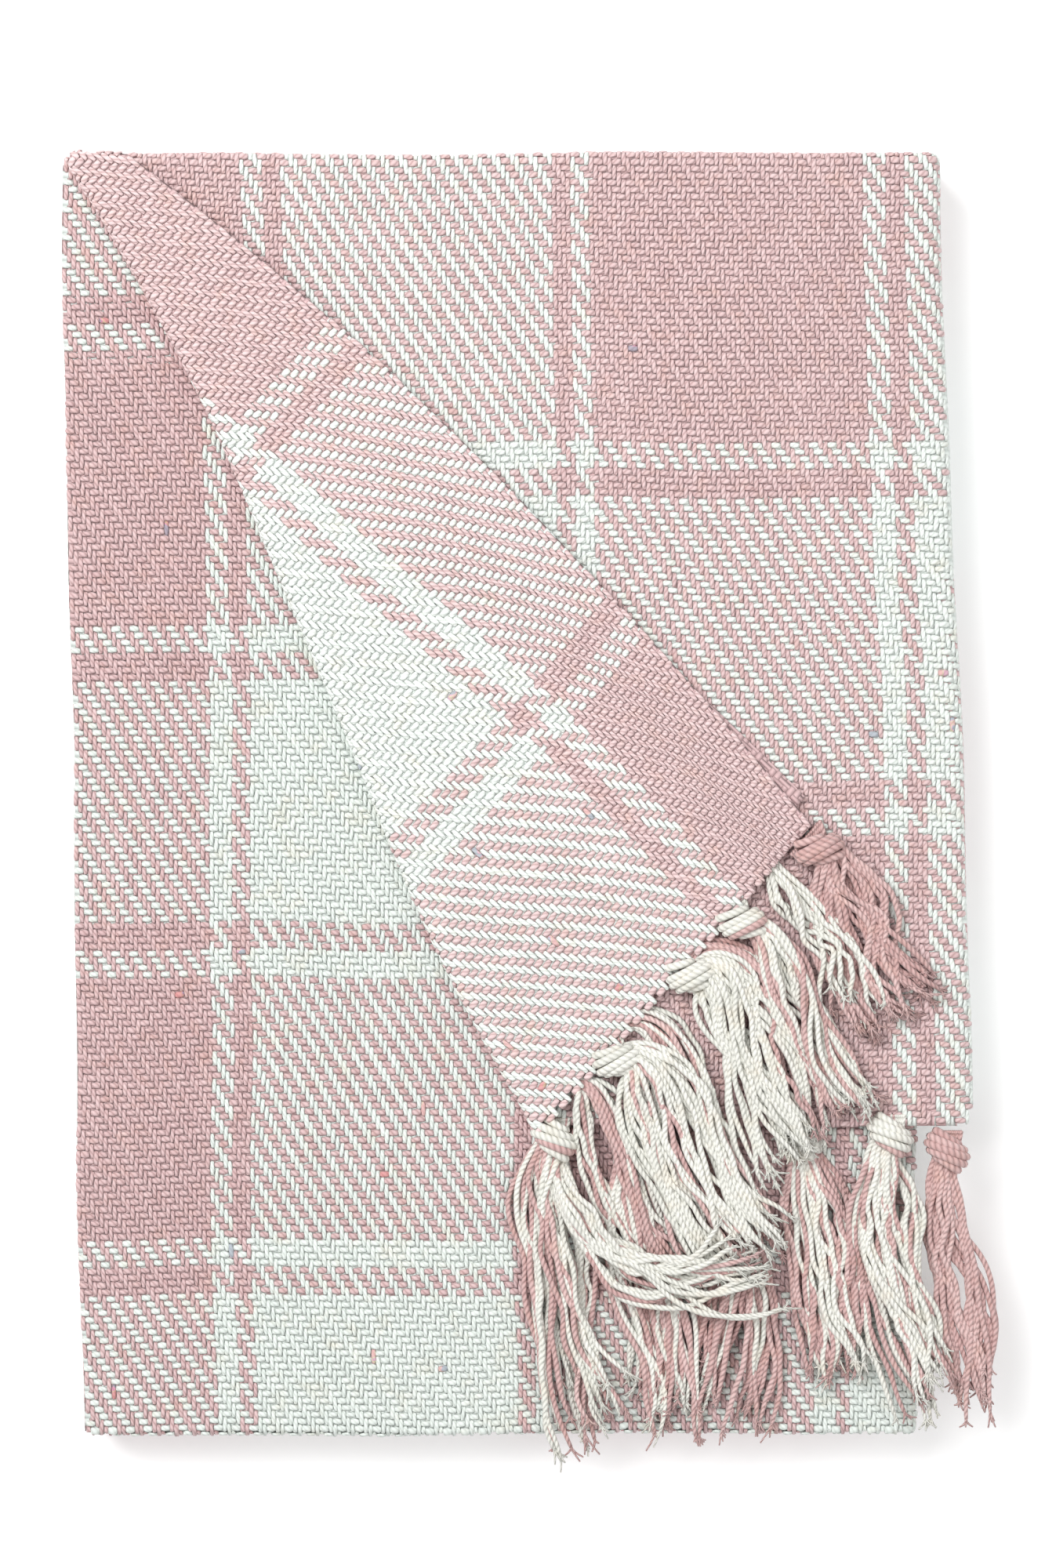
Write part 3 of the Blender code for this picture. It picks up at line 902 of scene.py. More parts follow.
class ThrowLowerPly(bpy.types.Operator):
    """Build the top leaf's lower ply, which shows on the turned-back corner"""
    bl_idname = "throw.lower_ply"
    bl_label = "Top leaf, lower ply"

    def execute(self, context):
        cloth = material_once("twill_ground_turned", cloth_material, 1.0, *TURNED_STRIPES)
        yarn = float_yarn()
        share = np.linspace(0, 1, 130)[None, :]
        down = np.linspace(0, 1, 140)[:, None]
        length = (TURNED_TIP[1] - FAR_NOSE_INSET) / -TURNED_WARP[1]
        left_x, left_y = turned_plan(0.0, length * down)
        right_y = (FRINGED_EDGE - 2 * MM) * (1 - down) + FAR_NOSE_INSET * down
        right_x = right_side(right_y, True) - NOSE_INSET
        x = left_x * (1 - share) + right_x * share
        y = left_y * (1 - share) + right_y * share
        basis = np.linalg.inv(np.stack((TURNED_WEFT, TURNED_WARP), axis=-1))
        uv = (np.stack((x, y), axis=-1) - TURNED_TIP) @ basis.T
        drawn = SELVEDGE_DRAW * np.clip(1 - uv[..., 1] / DRAWN_LENGTH, 0, 1)
        uv[..., 0] += drawn * eased(uv[..., 0] / (44 * MM))
        uv[..., 1] = TURNED_STRIPE_ORIGIN - uv[..., 1]
        sheet = grid_sheet("lower_ply", turned_leaf(x, y), uv, flip=True)
        paint(sheet, cloth)

        def shows(u, v):
            x, y = turned_plan(u, v)
            _, rolled_y, _ = roll_over(x, y, np.full_like(x, 7 * LEAF + PLY / 2), ROLL_OUTER)
            return (crease_place(x, y)[1] < ROLL_REACH - 1.2 * MM) & (rolled_y > -1.0 * MM)

        # 0.30 below is painted light: this face's floats are made lighter.
        pieces = weave_ply(
            "lower_ply", turned_cloth, -1, 0.300, length, 1, shows, warp_colour,
            lambda v: weft_colour(TURNED_STRIPE_ORIGIN - v, *TURNED_STRIPES), 0.30, 23)
        for piece in pieces:
            paint(piece, yarn)
            join_cloth(piece, True)
        join_cloth(sheet, True)
        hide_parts("turned_corner")
        return {'FINISHED'}


class ThrowBasePlies(bpy.types.Operator):
    """Build the top panel's long leaf: two plies joined at the front fold"""
    bl_idname = "throw.base_plies"
    bl_label = "Top panel, long leaf"

    def execute(self, context):
        # 0.85 below is painted shade: the ground of this face is darkened.
        cloth = material_once("twill_ground_base", cloth_material, 0.85, *BASE_STRIPES)
        yarn = float_yarn()
        length = 2 * (PANEL_DEPTH - FRONT_NOSE_INSET) + 0.5 * PLY * math.pi - FAR_NOSE_INSET

        def front(y):
            return np.minimum(y, 2 * PANEL_DEPTH - y)

        x, y = plan_grid(300, 90, FAR_NOSE_INSET, length, lambda y: left_side(front(y)),
                         lambda y: right_side(front(y), False) - NOSE_INSET)
        front_y = front(y)
        width = right_side(front_y, np.zeros_like(y, bool)) - left_side(front_y)
        uv = np.stack(((x - left_side(front_y)) * PANEL_WIDTH / width, y), axis=-1)
        sheet = grid_sheet("base_plies", base_upper(x, y), uv)
        paint(sheet, cloth)

        def shows(u, v):
            x = left_side(v) + u * (1 - (LEFT_TAPER + RIGHT_TAPER) * v / PANEL_DEPTH / PANEL_WIDTH)
            open_part = (crease_place(x, v)[1] < 14 * MM) | (v > FRINGED_EDGE - 8 * MM)
            return open_part & (u > 0.6 * MM) & (u < PANEL_WIDTH - 2.5 * MM)

        # -0.24 below is painted shade: this face's floats are made darker.
        pieces = weave_ply(
            "base_plies", base_cloth, -1, PANEL_WIDTH, PANEL_DEPTH + 1.5 * MM, 1,
            shows, warp_colour,
            lambda v: weft_colour(np.where(v < 0.12, v + 6 * MM, v), *BASE_STRIPES), -0.24, 31)
        for piece in pieces:
            paint(piece, yarn)
            join_cloth(piece, False)
        join_cloth(sheet, False)
        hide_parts("top_base")
        return {'FINISHED'}


def panel_section(level, upward, stations):
    """Section (y, z) of a whole folded panel, from the outer ply's fringed end over the far fold,
    along and round the front fold, back, and under the far fold to the inner ply's fringed end.
    level is the panel's lowest leaf and upward says whether its tasselled leaf is above."""
    centre = (level + 1) * LEAF
    sign = 1.0 if upward else -1.0
    base_middle = centre - sign * 0.5 * LEAF
    outer, inner = 1.5 * PLY, 0.5 * PLY
    front = PANEL_DEPTH - FRONT_NOSE_INSET
    half = np.linspace(0, math.pi, 9)[1:-1]

    def line(y_from, y_to, z, count):
        return np.stack((np.linspace(y_from, y_to, count), np.full(count, z)), axis=-1)

    parts = [
        line(FRINGED_EDGE, FAR_NOSE_INSET, centre + sign * outer, stations),
        np.stack((FAR_NOSE_INSET - outer * np.sin(half),
                  centre + sign * outer * np.cos(half)), axis=-1),
        line(FAR_NOSE_INSET, front, centre - sign * outer, stations),
        np.stack((front + inner * np.sin(half),
                  base_middle - sign * inner * np.cos(half)), axis=-1),
        line(front, FAR_NOSE_INSET, centre - sign * inner, stations),
        np.stack((FAR_NOSE_INSET - inner * np.sin(half),
                  centre - sign * inner * np.cos(half)), axis=-1),
        line(FAR_NOSE_INSET, FRINGED_EDGE, centre + sign * inner, stations),
    ]
    return np.concatenate(parts)


def section_length(section):
    """Length along a section at each of its points."""
    step = np.linalg.norm(np.diff(section, axis=0), axis=1)
    return np.concatenate(([0.0], np.cumsum(step)))


def is_over(section, level, upward):
    """Which stations of a section belong to the tasselled leaf."""
    return (section[:, 1] > (level + 1) * LEAF) == upward


class ThrowHiddenPanels(bpy.types.Operator):
    """Build the three panels under the top one, each as one folded sheet"""
    bl_idname = "throw.hidden_panels"
    bl_label = "Panels underneath"

    def execute(self, context):
        cloth = material_once("twill_cloth", cloth_material, 1.0, *BASE_STRIPES)
        panels = (("second_plies", 4, False, "second_panel", True, ("second_over", "second_base"),
                   "third_plies"),
                  ("third_plies", 2, True, "lower_half", False, ("third_over", "third_base"),
                   "bottom_plies"),
                  ("bottom_plies", 0, False, "lower_half", False, ("bottom_over", "bottom_base"),
                   "floor"))
        for name, level, upward, body, lean, nodes, below in panels:
            section = panel_section(level, upward, 48)
            y = section[:, :1]
            over = is_over(section, level, upward)[:, None] & lean
            left = left_side(y) + (NOSE_INSET if name != "bottom_plies" else 0.0)
            right = right_side(y, over) - NOSE_INSET
            share = np.linspace(0, 1, 60)[None, :]
            x = left * (1 - share) + right * share
            z = section[:, 1:] * np.ones_like(x)
            points = to_frame(x, y * np.ones_like(x), z)
            run = section_length(section)[:, None] * np.ones_like(x)
            sheet = grid_sheet(name, points, np.stack((x, run), axis=-1), flip=not upward)
            paint(sheet, cloth)
            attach(sheet, body)
            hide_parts(*nodes)
        return {'FINISHED'}


def side_fold(name, plane_level, level, upward, right, lean):
    """The cloth of one side fold: every ply of the panel above goes round half a circle about
    the plane between it and the panel below."""
    plane = plane_level * LEAF
    section = panel_section(level, upward, 60)
    y = section[:, 0][:, None]
    over = is_over(section, level, upward)[:, None] & lean
    radius = np.abs(section[:, 1] - plane)[:, None]
    turn = np.linspace(0, math.pi, 13)[None, :]
    if right:
        x = right_side(y, over) - NOSE_INSET + radius * np.sin(turn)
    else:
        x = left_side(y) + NOSE_INSET - radius * np.sin(turn)
    z = plane + radius * np.cos(turn)
    points = to_frame(x, y * np.ones_like(x), z)
    u = PANEL_WIDTH + (radius * turn if right else -radius * turn)
    run = section_length(section)[:, None] * np.ones_like(x)
    return grid_sheet(name, points, np.stack((u, run), axis=-1), flip=(right != upward))


class ThrowSideFolds(bpy.types.Operator):
    """Build the side folds that join the panels"""
    bl_idname = "throw.side_folds"
    bl_label = "Side folds"

    def execute(self, context):
        cloth = material_once("twill_cloth", cloth_material, 1.0, *BASE_STRIPES)
        folds = (("right_fold", 6, 6, True, True, True, ("second_panel", "top_panel"), 0.0118),
                 ("left_fold", 4, 4, False, False, False, ("lower_half", "second_panel"), 0.0134),
                 ("lower_right_fold", 2, 2, True, True, False, None, 0.0118))
        for name, plane_level, level, upward, right, lean, bodies, width in folds:
            strip = side_fold(name, plane_level, level, upward, right, lean)
            paint(strip, cloth)
            if bodies:
                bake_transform(strip)
            else:
                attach(strip, "lower_half")
        return {'FINISHED'}


# ---------------------------------------------------------------- tassels

# Each tassel that shows: its route in plan from the knot to the loose ends, its share of pink
# yarns, half the width it spreads to, and how many yarns' thickness it lies above the cloth.
CORNER_TASSELS = (
    ("corner_1", ((0.2814, 0.2586), (0.2910, 0.2720), (0.3010, 0.3000), (0.3130, 0.3270)),
     1.0, 0.0180, 0.0),
    ("corner_2", ((0.2532, 0.2859), (0.2660, 0.2980), (0.2790, 0.3250), (0.2960, 0.3530)),
     0.42, 0.0100, 1.0),
    ("corner_3", ((0.2344, 0.3056), (0.2490, 0.3120), (0.2620, 0.3420), (0.2770, 0.3790)),
     0.03, 0.0160, 1.3),
    ("corner_4", ((0.2071, 0.3372), (0.2210, 0.3450), (0.2350, 0.3750), (0.2570, 0.4100)),
     0.12, 0.0200, 1.8),
)
EDGE_TASSELS = (
    ("edge_1", ((0.3300, 0.3705), (0.3295, 0.3920), (0.3335, 0.4250), (0.3385, 0.4640)),
     1.0, 0.0085, 0.0),
    ("edge_2", ((0.3087, 0.3644), (0.3060, 0.3900), (0.3110, 0.4250), (0.3220, 0.4680)),
     0.30, 0.0125, 1.6),
    ("edge_3", ((0.2760, 0.3655), (0.2810, 0.3950), (0.2870, 0.4250), (0.2920, 0.4560)),
     0.60, 0.0165, 0.2),
    ("edge_4", ((0.2450, 0.3655), (0.2490, 0.3950), (0.2530, 0.4300), (0.2490, 0.4720)),
     0.85, 0.0165, 0.0),
    ("edge_5", ((0.2130, 0.3655), (0.2140, 0.3950), (0.2210, 0.4350), (0.2250, 0.4770)),
     0.55, 0.0165, 0.0),
    ("edge_6", ((0.1841, 0.3660), (0.1800, 0.3900), (0.1850, 0.4300), (0.1960, 0.4740)),
     0.40, 0.0140, 0.4),
)
# Tassels of the ply underneath, which come out from under the fringed edge without a knot. Their
# last value is the number of yarns.
LOWER_TASSELS = (
    ("between_1", ((0.2320, 0.2960), (0.2560, 0.3060), (0.2690, 0.3280), (0.2830, 0.3560)),
     0.92, 0.0110, -0.2, 18),
    ("between_2", ((0.2090, 0.3230), (0.2290, 0.3360), (0.2470, 0.3700), (0.2650, 0.4060)),
     0.55, 0.0120, -0.2, 18),
    ("between_3", ((0.2640, 0.2650), (0.2760, 0.2800), (0.2880, 0.2980), (0.2990, 0.3170)),
     0.05, 0.0080, 0.4, 14),
    ("between_4", ((0.1900, 0.3480), (0.2030, 0.3600), (0.2160, 0.3950), (0.2370, 0.4280)),
     0.50, 0.0130, 0.0, 18),
)
# A bundle that curls to the right out of the tassel at the front end of the crease
CURL = ("edge_6_curl", ((0.1850, 0.3700), (0.1985, 0.4010), (0.2270, 0.4205), (0.2650, 0.4190)),
        0.20, 0.0068, 3.6, 26)


def smooth_route(points, count):
    """Points along a smooth curve through the route's own points: a cubic in each coordinate
    through equally spaced stations."""
    given = np.asarray(points, float)
    at = np.linspace(0, 1, len(given))
    degree = len(given) - 1
    share = np.linspace(0, 1, count)
    return np.stack([np.polyval(np.polyfit(at, given[:, k], degree), share) for k in (0, 1)], -1)


LOCKS = 6                       # locks that the yarns of a skirt hang in


def disc_places(count):
    """Places spread evenly over a unit disc, as seeds in a sunflower head."""
    number = np.arange(count) + 0.5
    radius = np.sqrt(number / count)
    angle = number * math.pi * (3 - math.sqrt(5))
    return radius * np.cos(angle), radius * np.sin(angle)


def ground_height(x, y, corner):
    """Height of the cloth that a tassel lies on at a plan place."""
    level = np.where(y < FRINGED_EDGE, 8.0, 7.0 if not corner else 7.75)
    return level * LEAF + 0.45 * MM


def skirt_paths(tassel, corner, count, rng, start_z, stations=34):
    """Yarn paths of one skirt. Each yarn keeps its place in the bundle's section, which starts
    as a small circle in the knot, flattens and widens towards the loose ends. The yarns hang in
    a few locks: each lock wanders by its own slow waves that grow along it, and its yarns by
    smaller and quicker ones."""
    route, _, spread, lift = tassel[:4]
    radius = bpy.context.scene.throw_tassels.yarn_radius
    middle = smooth_route(route, stations)
    along = np.gradient(middle, axis=0)
    along /= np.linalg.norm(along, axis=1, keepdims=True)
    across = np.stack((-along[:, 1], along[:, 0]), axis=-1)
    share = np.linspace(0, 1, stations)
    px, pz = disc_places(count)
    start_width = min(3.4 * MM, spread)
    half_width = start_width + (spread - start_width) * eased(share / 0.55) ** 0.9
    half_height = 2.6 * MM * (1 - share) + 1.9 * MM * share

    lock = np.floor((np.arctan2(pz, px) / (2 * math.pi) + 0.5) * LOCKS).astype(int) % LOCKS
    lock_phase = rng.uniform(0, 2 * math.pi, (LOCKS, 3))
    lock_rate = rng.uniform(0.7, 1.3, (LOCKS, 3)) * np.array([3.5, 6.5, 11.0])
    lock_size = rng.normal(0, 1, (LOCKS, 3)) * np.array([3.4, 2.5, 1.1]) * MM
    phase = rng.uniform(0, 2 * math.pi, (count, 5))
    rate = rng.uniform(0.6, 1.4, (count, 5)) * np.array([4.0, 7.0, 12.0, 20.0, 38.0])
    size = rng.normal(0, 1, (count, 5)) * np.array([1.1, 1.0, 0.95, 0.70, 0.34]) * MM
    yarn_waves = size[:, None, :] * np.sin(phase[:, None, :] + rate[:, None, :] * share[:, None])
    lock_waves = lock_size[:, None, :] * np.sin(
        lock_phase[:, None, :] + lock_rate[:, None, :] * share[:, None])
    wander = (yarn_waves.sum(axis=2) + lock_waves.sum(axis=2)[lock])
    wander = wander * np.clip(share * 1.8, 0, 1)[None, :]
    stray = np.clip(rng.normal(0, 1, count), -1.5, 1.5) ** 3 * 1.2 * MM
    lock_place = np.array([px[lock == k].mean() if (lock == k).any() else 0 for k in range(LOCKS)])
    closing = 0.5 * eased(share / 0.6)[None, :]
    place = px[:, None] * (1 - closing) + lock_place[lock][:, None] * closing
    offset = place * half_width[None, :] + wander + stray[:, None] * share[None, :] ** 2.5
    x = middle[None, :, 0] + across[None, :, 0] * offset
    y = middle[None, :, 1] + across[None, :, 1] * offset
    shorten = rng.uniform(0.86, 1.02, count) * rng.uniform(0.86, 1.06, LOCKS)[lock]
    stretch = (share[None, :] * (shorten[:, None] - 1))[..., None] * (middle[-1] - middle[0])
    x = x + stretch[..., 0]
    y = y + stretch[..., 1]

    ground = ground_height(x, y, corner)
    drop = eased(share / 0.30)
    heave = size[:, 1:2] * np.sin(phase[:, 2:3] + 2.1 * rate[:, 0:1] * share[None, :])
    lock_heave = lock_size[lock, :1] * np.sin(lock_phase[lock, 2:] + 7.0 * share[None, :])
    lie = ground + radius + (pz[:, None] + 1) * half_height[None, :] + lift * 2 * radius
    lie = lie + (0.6 * heave + 0.35 * lock_heave) * drop
    if start_z is None:
        start_z = ground[:, :1] + 0.6 * MM
    z = start_z * (1 - drop) + lie * drop + pz[:, None] * 1.4 * MM * (1 - drop)
    z = np.maximum(z, ground + radius * 0.7)
    for _ in range(2):
        inner = 0.25 * z[:, :-2] + 0.5 * z[:, 1:-1] + 0.25 * z[:, 2:]
        z = np.concatenate((z[:, :1], inner, z[:, -1:]), axis=1)
    paths = to_frame(x, y, z)
    paths[..., 0] = np.minimum(paths[..., 0], RIGHTMOST)
    return paths


def knot_paths(centre, out, z_middle, flat, rng, count=5, stations=24):
    """Yarns wrapped over a knot. Each goes round an ellipse whose long axis lies along the
    cloth's edge, side by side outwards, and leans a little so that they look twisted."""
    run = unit(out)
    across = np.array([-run[1], run[0]])
    turn = np.linspace(-0.45 * math.pi, 1.45 * math.pi, stations)
    place = (np.arange(count) - (count - 1) / 2) / ((count - 1) / 2)
    bulge = np.sqrt(1 - 0.66 * place ** 2)
    half_width = 7.3 * MM * bulge * (1 + rng.normal(0, 0.05, count))
    half_height = 5.6 * MM * bulge * flat
    side = half_width[:, None] * np.cos(turn)[None, :]
    along = place[:, None] * 5.0 * MM - 2.6 * MM * np.cos(turn)[None, :]
    along = along + rng.normal(0, 0.35, (count, 1)) * MM
    x = centre[0] + run[0] * along + across[0] * side
    y = centre[1] + run[1] * along + across[1] * side
    z = z_middle + half_height[:, None] * np.sin(turn)[None, :]
    return to_frame(x, y, z)


def gather_paths(centre, edge_run, out, z_cloth, z_knot, half_run, rng, count=14, stations=10):
    """Warp yarns that leave the cloth's fringed edge side by side and gather into a knot."""
    edge_run, out = unit(edge_run), unit(out)
    place = np.linspace(-1, 1, count)
    reach = place * half_run
    start_x = centre[0] + edge_run[0] * reach - out[0] * 7.0 * MM
    start_y = centre[1] + edge_run[1] * reach - out[1] * 7.0 * MM
    end_x = centre[0] - out[0] * 1.0 * MM + edge_run[0] * place * 4.0 * MM
    end_y = centre[1] - out[1] * 1.0 * MM + edge_run[1] * place * 4.0 * MM
    share = np.linspace(0, 1, stations)[None, :]
    x = start_x[:, None] * (1 - share) + end_x[:, None] * share
    y = start_y[:, None] * (1 - share) + end_y[:, None] * share
    outward = (0.8 * MM * np.sin(math.pi * share)) * np.abs(place)[:, None]
    x, y = x + out[0] * outward, y + out[1] * outward
    rise = rng.uniform(-1.8, -0.4, count) * MM
    z = z_cloth * (1 - share) + (z_knot + rise[:, None]) * share
    return to_frame(x, y, z)


def strand_tints(pink_share, count, rng):
    """Tint per yarn: some pink and some white, in the share given, and a shade each."""
    pink = (np.arange(count) + 0.5) / count < pink_share
    rng.shuffle(pink)
    shade = np.clip(np.where(pink, 0.20, 0.66) + rng.normal(0, 0.15, count), 0, 1)
    return np.stack((pink.astype(float), shade, rng.uniform(0, 0.99, count), np.ones(count)), -1)


def frayed_ends(paths, tint, rng, fibres=5, stations=5):
    """Loose fibres at each yarn's end: short curves that fan out from its last stretch."""
    tip = paths[:, -1]
    run = paths[:, -1] - paths[:, -3]
    run /= np.maximum(np.linalg.norm(run, axis=1, keepdims=True), 1e-9)
    share = np.linspace(0, 1, stations)
    fan = rng.normal(0, 0.42, (len(paths), fibres, 3)) * np.array([1, 1, 0.5])
    length = rng.uniform(2.0, 4.6, (len(paths), fibres, 1, 1)) * MM
    direction = run[:, None, None, :] + fan[:, :, None, :] * share[None, None, :, None]
    curves = tip[:, None, None, :] + direction * length * share[None, None, :, None]
    curves[..., 2] = np.maximum(curves[..., 2], 0.4 * MM)
    curves[..., 0] = np.minimum(curves[..., 0], RIGHTMOST)
    return curves.reshape(-1, stations, 3), np.repeat(tint, fibres, axis=0)


def taper(count, stations, radius, rng, tip=0.7):
    """Yarn radius along its length, a little uneven, narrowing at the loose end."""
    share = np.linspace(0, 1, stations)
    wave = rng.normal(0, 0.05, (count, stations))
    narrowing = 1 - (1 - tip) * np.clip((share - 0.9) / 0.1, 0, 1)
    return radius * (1 + wave) * narrowing[None, :]


COVERED_TASSELS = ("edge_3", "edge_4", "edge_5")     # they lie under the corner's tassels


def build_tassel(label, tassel, corner, edge_run, out, body, seed, knotted=True):
    """A whole tassel: skirt and frayed ends, and where it is knotted its knot and the yarns
    that gather into it."""
    route, pink, spread = tassel[:3]
    settings = bpy.context.scene.throw_tassels
    rng = np.random.default_rng(seed)
    radius = settings.yarn_radius
    fullness = 0.6 + 0.4 * spread / (12.5 * MM)
    count = int(settings.yarns * fullness) if knotted else tassel[4]
    yarn = tassel_yarn()
    knot_at = np.asarray(route[0])
    covered = label in COVERED_TASSELS
    z_cloth = 8 * LEAF + (2.8 if corner else 0.2) * MM
    z_knot = 8 * LEAF + (3.9 if corner else 1.6) * MM
    if covered:
        z_cloth = 7 * LEAF + 2.2 * MM
        z_knot = 7 * LEAF + 2.4 * MM
    tint = strand_tints(pink, count, rng)
    # Painted shade: yarns lower in the bundle get a darker shade and higher ones a lighter, as if
    # less and more lit.
    tint[:, 1] = np.clip(tint[:, 1] + 0.22 * disc_places(count)[1], 0, 1)
    start_z = z_knot - 2.4 * MM if knotted else None
    paths = skirt_paths(tassel, corner, count, rng, start_z)
    skirt = tubes(f"{label}_skirt", paths, taper(count, paths.shape[1], radius, rng), 6, tint)
    ends, end_tint = frayed_ends(paths, tint, rng)
    fibre = np.full(ends.shape[:2], 0.55 * MM) * np.linspace(1.0, 0.55, ends.shape[1])[None, :]
    pieces = [skirt, tubes(f"{label}_fray", ends, fibre, 4, end_tint)]
    if knotted:
        knot_pink = 1.0 if pink > 0.9 else (0.0 if pink < 0.2 else 0.3)
        wraps = knot_paths(knot_at, out, z_knot, 0.5 if covered else 1.0, rng)
        pieces.append(tubes(f"{label}_knot", wraps, np.full(wraps.shape[:2], 1.50 * MM), 8,
                            strand_tints(knot_pink, len(wraps), rng)))
        gathered = gather_paths(knot_at, edge_run, out, z_cloth, z_knot,
                                (8.0 if corner else 5.2) * MM, rng)
        pieces.append(tubes(f"{label}_gather", gathered,
                            np.full(gathered.shape[:2], 0.90 * MM), 6,
                            strand_tints(max(pink, 0.35), len(gathered), rng)))
    for piece in pieces:
        paint(piece, yarn)
        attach(piece, body)
    return pieces


class ThrowTasselRow(bpy.types.Operator):
    """Build the tassels on the turned-back corner and on the straight fringed edge"""
    bl_idname = "throw.tassel_row"
    bl_label = "Tassels"

    def execute(self, context):
        seed = context.scene.throw_tassels.seed
        run = unit(CORNER_EDGE_RUN)
        out = np.array([run[1], -run[0]])
        for number, (label, *tassel) in enumerate(CORNER_TASSELS, start=1):
            pieces = build_tassel(label, tassel, True, run, out, "corner", seed + number)
            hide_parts(f"corner_tassel_{number}")
            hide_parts(f"corner_knot_{number}")
        for number, (label, *tassel) in enumerate(LOWER_TASSELS, start=1):
            pieces = build_tassel(label, tassel, True, run, out, "corner", seed + 20 + number,
                                  knotted=False)
            if number <= 2:
                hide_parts(f"corner_tassel_between_{number}")
        for number, (label, *tassel) in enumerate(EDGE_TASSELS, start=1):
            pieces = build_tassel(label, tassel, False, (1.0, 0.0), (0.0, 1.0), "top_panel",
                                  seed + 40 + number)
            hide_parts(f"edge_tassel_{number}")
            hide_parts(f"edge_knot_{number}")
        build_tassel(CURL[0], CURL[1:], False, (1.0, 0.0), (0.0, 1.0), "top_panel", seed + 60,
                     knotted=False)
        return {'FINISHED'}


class ThrowHiddenFringe(bpy.types.Operator):
    """Build the rows of tassels inside and under the bundle"""
    bl_idname = "throw.hidden_fringe"
    bl_label = "Hidden fringe"

    def execute(self, context):
        yarn = tassel_yarn()
        rows = (("second_fringe", "second_panel", 4), ("third_fringe", "lower_half", 3),
                ("bottom_fringe", "lower_half", 0))
        for order, (name, body, level) in enumerate(rows):
            rng = np.random.default_rng(100 + order)
            count, stations = 9 * 12, 9
            share = np.linspace(0, 1, stations)[None, :]
            slot_number = np.arange(count)
            group = slot_number // 12
            within = (slot_number % 12 - 5.5) / 5.5
            middle = 0.025 + group * 0.0335
            x = middle[:, None] + within[:, None] * (5 + 7 * share) * MM
            x = x + rng.normal(0, 0.8, (count, 1)) * MM * share
            y = FRINGED_EDGE + 0.5 * MM + share * (0.108 + rng.uniform(-0.008, 0, (count, 1)))
            low = level * LEAF + 1.0 * MM
            z = low + rng.uniform(0, 1.3, (count, 1)) * MM * np.ones_like(x)
            paths = to_frame(x, y, z)
            pink = np.repeat(rng.uniform(0.2, 1, 9) > 0.5, 12) * 0.8
            tint = strand_tints(0.5, count, rng)
            tint[:, 0] = np.where(rng.uniform(0, 1, count) < pink + 0.1, 1.0, 0.0)
            row = tubes(name, paths, np.full(paths.shape[:2], 0.95 * MM), 5, tint)
            paint(row, yarn)
            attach(row, body)
            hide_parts(name)
        return {'FINISHED'}


# ---------------------------------------------------------------- stage

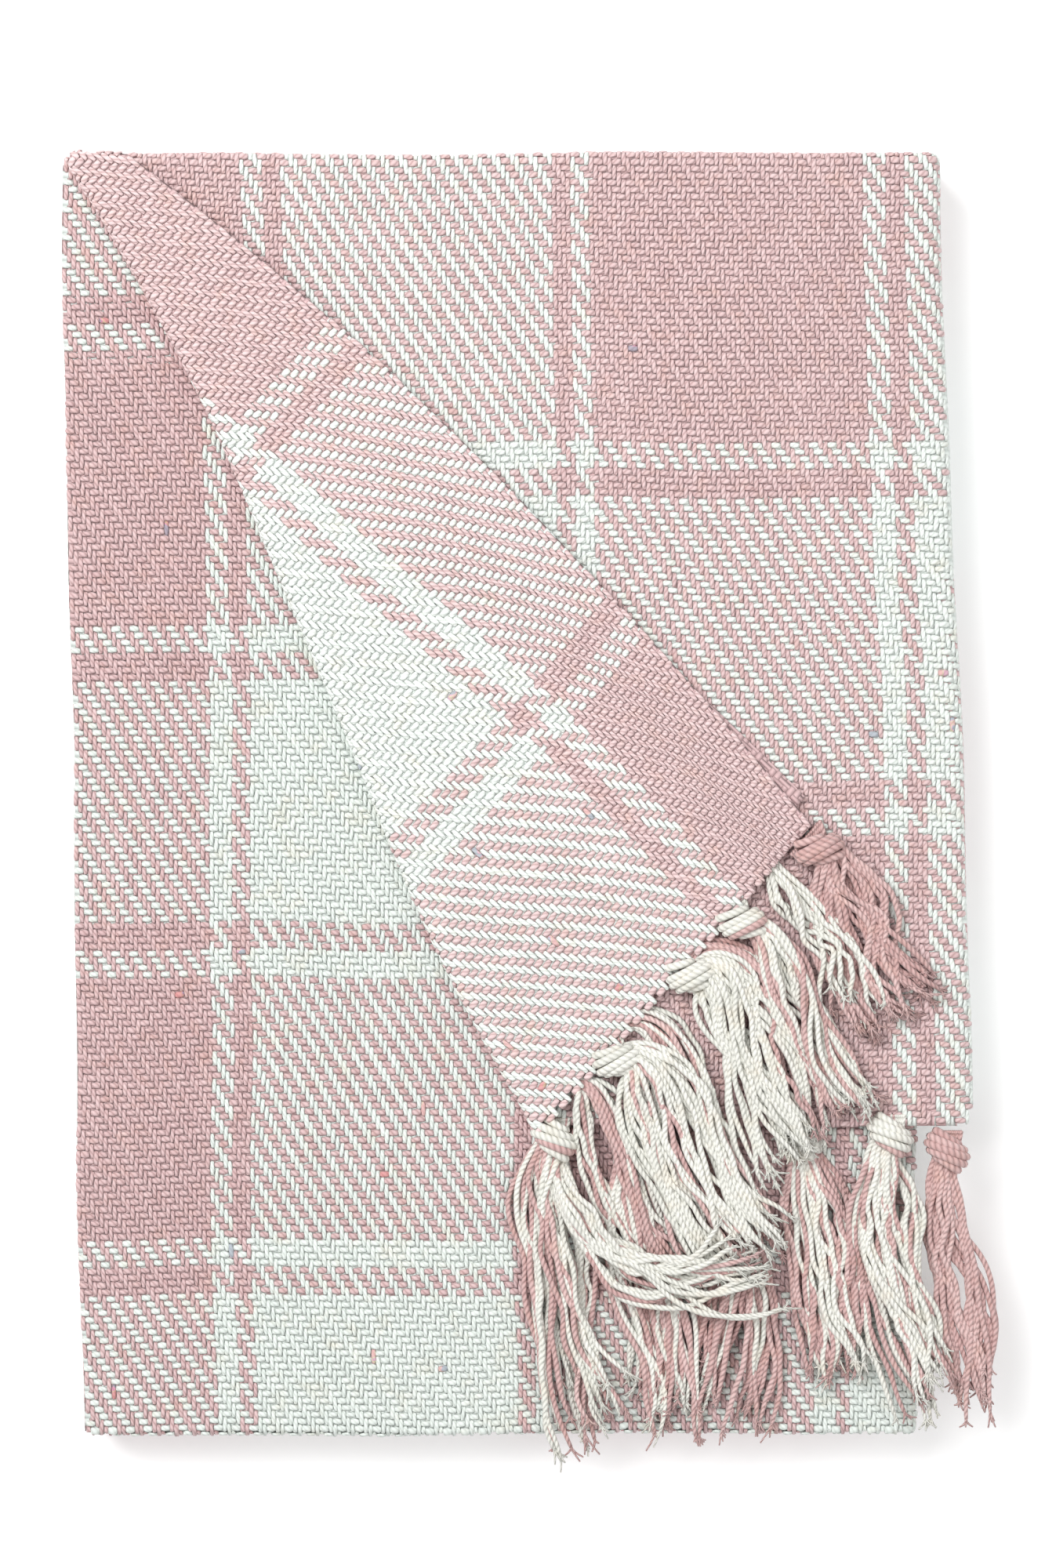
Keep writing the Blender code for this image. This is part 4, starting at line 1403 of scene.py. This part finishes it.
class ThrowStage(bpy.types.Operator):
    """Build the floor, the lights and the camera that looks straight down"""
    bl_idname = "throw.stage"
    bl_label = "Floor, light and camera"

    def execute(self, context):
        scene = context.scene
        material, _, shader = new_material("pale_floor")
        shader.inputs["Base Color"].default_value = (0.93, 0.93, 0.93, 1.0)
        shader.inputs["Emission Color"].default_value = (1.0, 1.0, 1.0, 1.0)
        shader.inputs["Emission Strength"].default_value = 0.14
        shader.inputs["Roughness"].default_value = 0.9
        half = 6.0
        corners = np.array([(-half, -half, 0), (half, -half, 0), (half, half, 0), (-half, half, 0)])
        floor = finish_mesh("floor", corners, np.array([[0, 1, 2, 3]]), smooth=False)
        paint(floor, material)

        world = bpy.data.worlds.new("soft_room")
        scene.world = world
        world.use_nodes = True
        sky = world.node_tree.nodes["Background"]
        sky.inputs["Color"].default_value = (1.0, 1.0, 1.0, 1.0)
        sky.inputs["Strength"].default_value = 0.62
        # Each lamp's name, place, size and power. Both point at the throw.
        lamps = (("key_lamp", (-0.9, 0.8, 1.5), 1.0, 31.0), ("fill_lamp", (1.0, -0.5, 1.6), 1.6, 9.0))
        for name, place, size, power in lamps:
            lamp = bpy.data.lights.new(name, 'AREA')
            lamp.energy = power
            lamp.size = size
            holder = bpy.data.objects.new(name, lamp)
            holder.location = place
            holder.rotation_euler = aim(-np.array(place))
            scene.collection.objects.link(holder)

        camera = bpy.data.cameras.new("overhead")
        camera.lens = 85.0
        camera.sensor_width = 36.0
        view_height = 0.5831
        holder = bpy.data.objects.new("overhead", camera)
        height = 8 * LEAF + view_height * camera.lens / camera.sensor_width
        holder.location = (FAR_LEFT_X + 0.1716, FAR_Y - 0.2341, height)
        scene.collection.objects.link(holder)
        scene.camera = holder
        scene.view_settings.view_transform = 'Standard'
        return {'FINISHED'}


def aim(direction):
    """Rotation that points a lamp's -Z along direction."""
    from mathutils import Vector
    return Vector(direction).to_track_quat('-Z', 'Y').to_euler()


# ---------------------------------------------------------------- panel and registration

OPERATORS = (ThrowStage, ThrowUpperPly, ThrowLowerPly, ThrowBasePlies, ThrowHiddenPanels,
             ThrowSideFolds, ThrowTasselRow, ThrowHiddenFringe)


class ThrowPanel(bpy.types.Panel):
    """Lists the throw's settings and pieces"""
    bl_idname = "VIEW3D_PT_throw"
    bl_label = "Folded throw"
    bl_space_type = 'VIEW_3D'
    bl_region_type = 'UI'
    bl_category = "Throw"

    def draw(self, context):
        layout = self.layout
        for settings in (context.scene.throw_weave, context.scene.throw_colours,
                         context.scene.throw_tassels):
            box = layout.box()
            for name in settings.bl_rna.properties.keys():
                if name not in ("rna_type", "name"):
                    box.prop(settings, name)
        for operator in OPERATORS:
            layout.operator(operator.bl_idname)


CLASSES = (ThrowWeave, ThrowColours, ThrowTassels, *OPERATORS, ThrowPanel)


def register():
    """Register the classes and put the settings on the scene."""
    for item in CLASSES:
        bpy.utils.register_class(item)
    bpy.types.Scene.throw_weave = PointerProperty(type=ThrowWeave)
    bpy.types.Scene.throw_colours = PointerProperty(type=ThrowColours)
    bpy.types.Scene.throw_tassels = PointerProperty(type=ThrowTassels)


def unregister():
    """Take the settings off the scene and unregister the classes."""
    del bpy.types.Scene.throw_tassels
    del bpy.types.Scene.throw_colours
    del bpy.types.Scene.throw_weave
    for item in reversed(CLASSES):
        bpy.utils.unregister_class(item)


def main():
    """Build everything through the operators."""
    register()
    for operator in OPERATORS:
        group, name = operator.bl_idname.split(".")
        getattr(getattr(bpy.ops, group), name)()


if __name__ == "__main__":
    main()
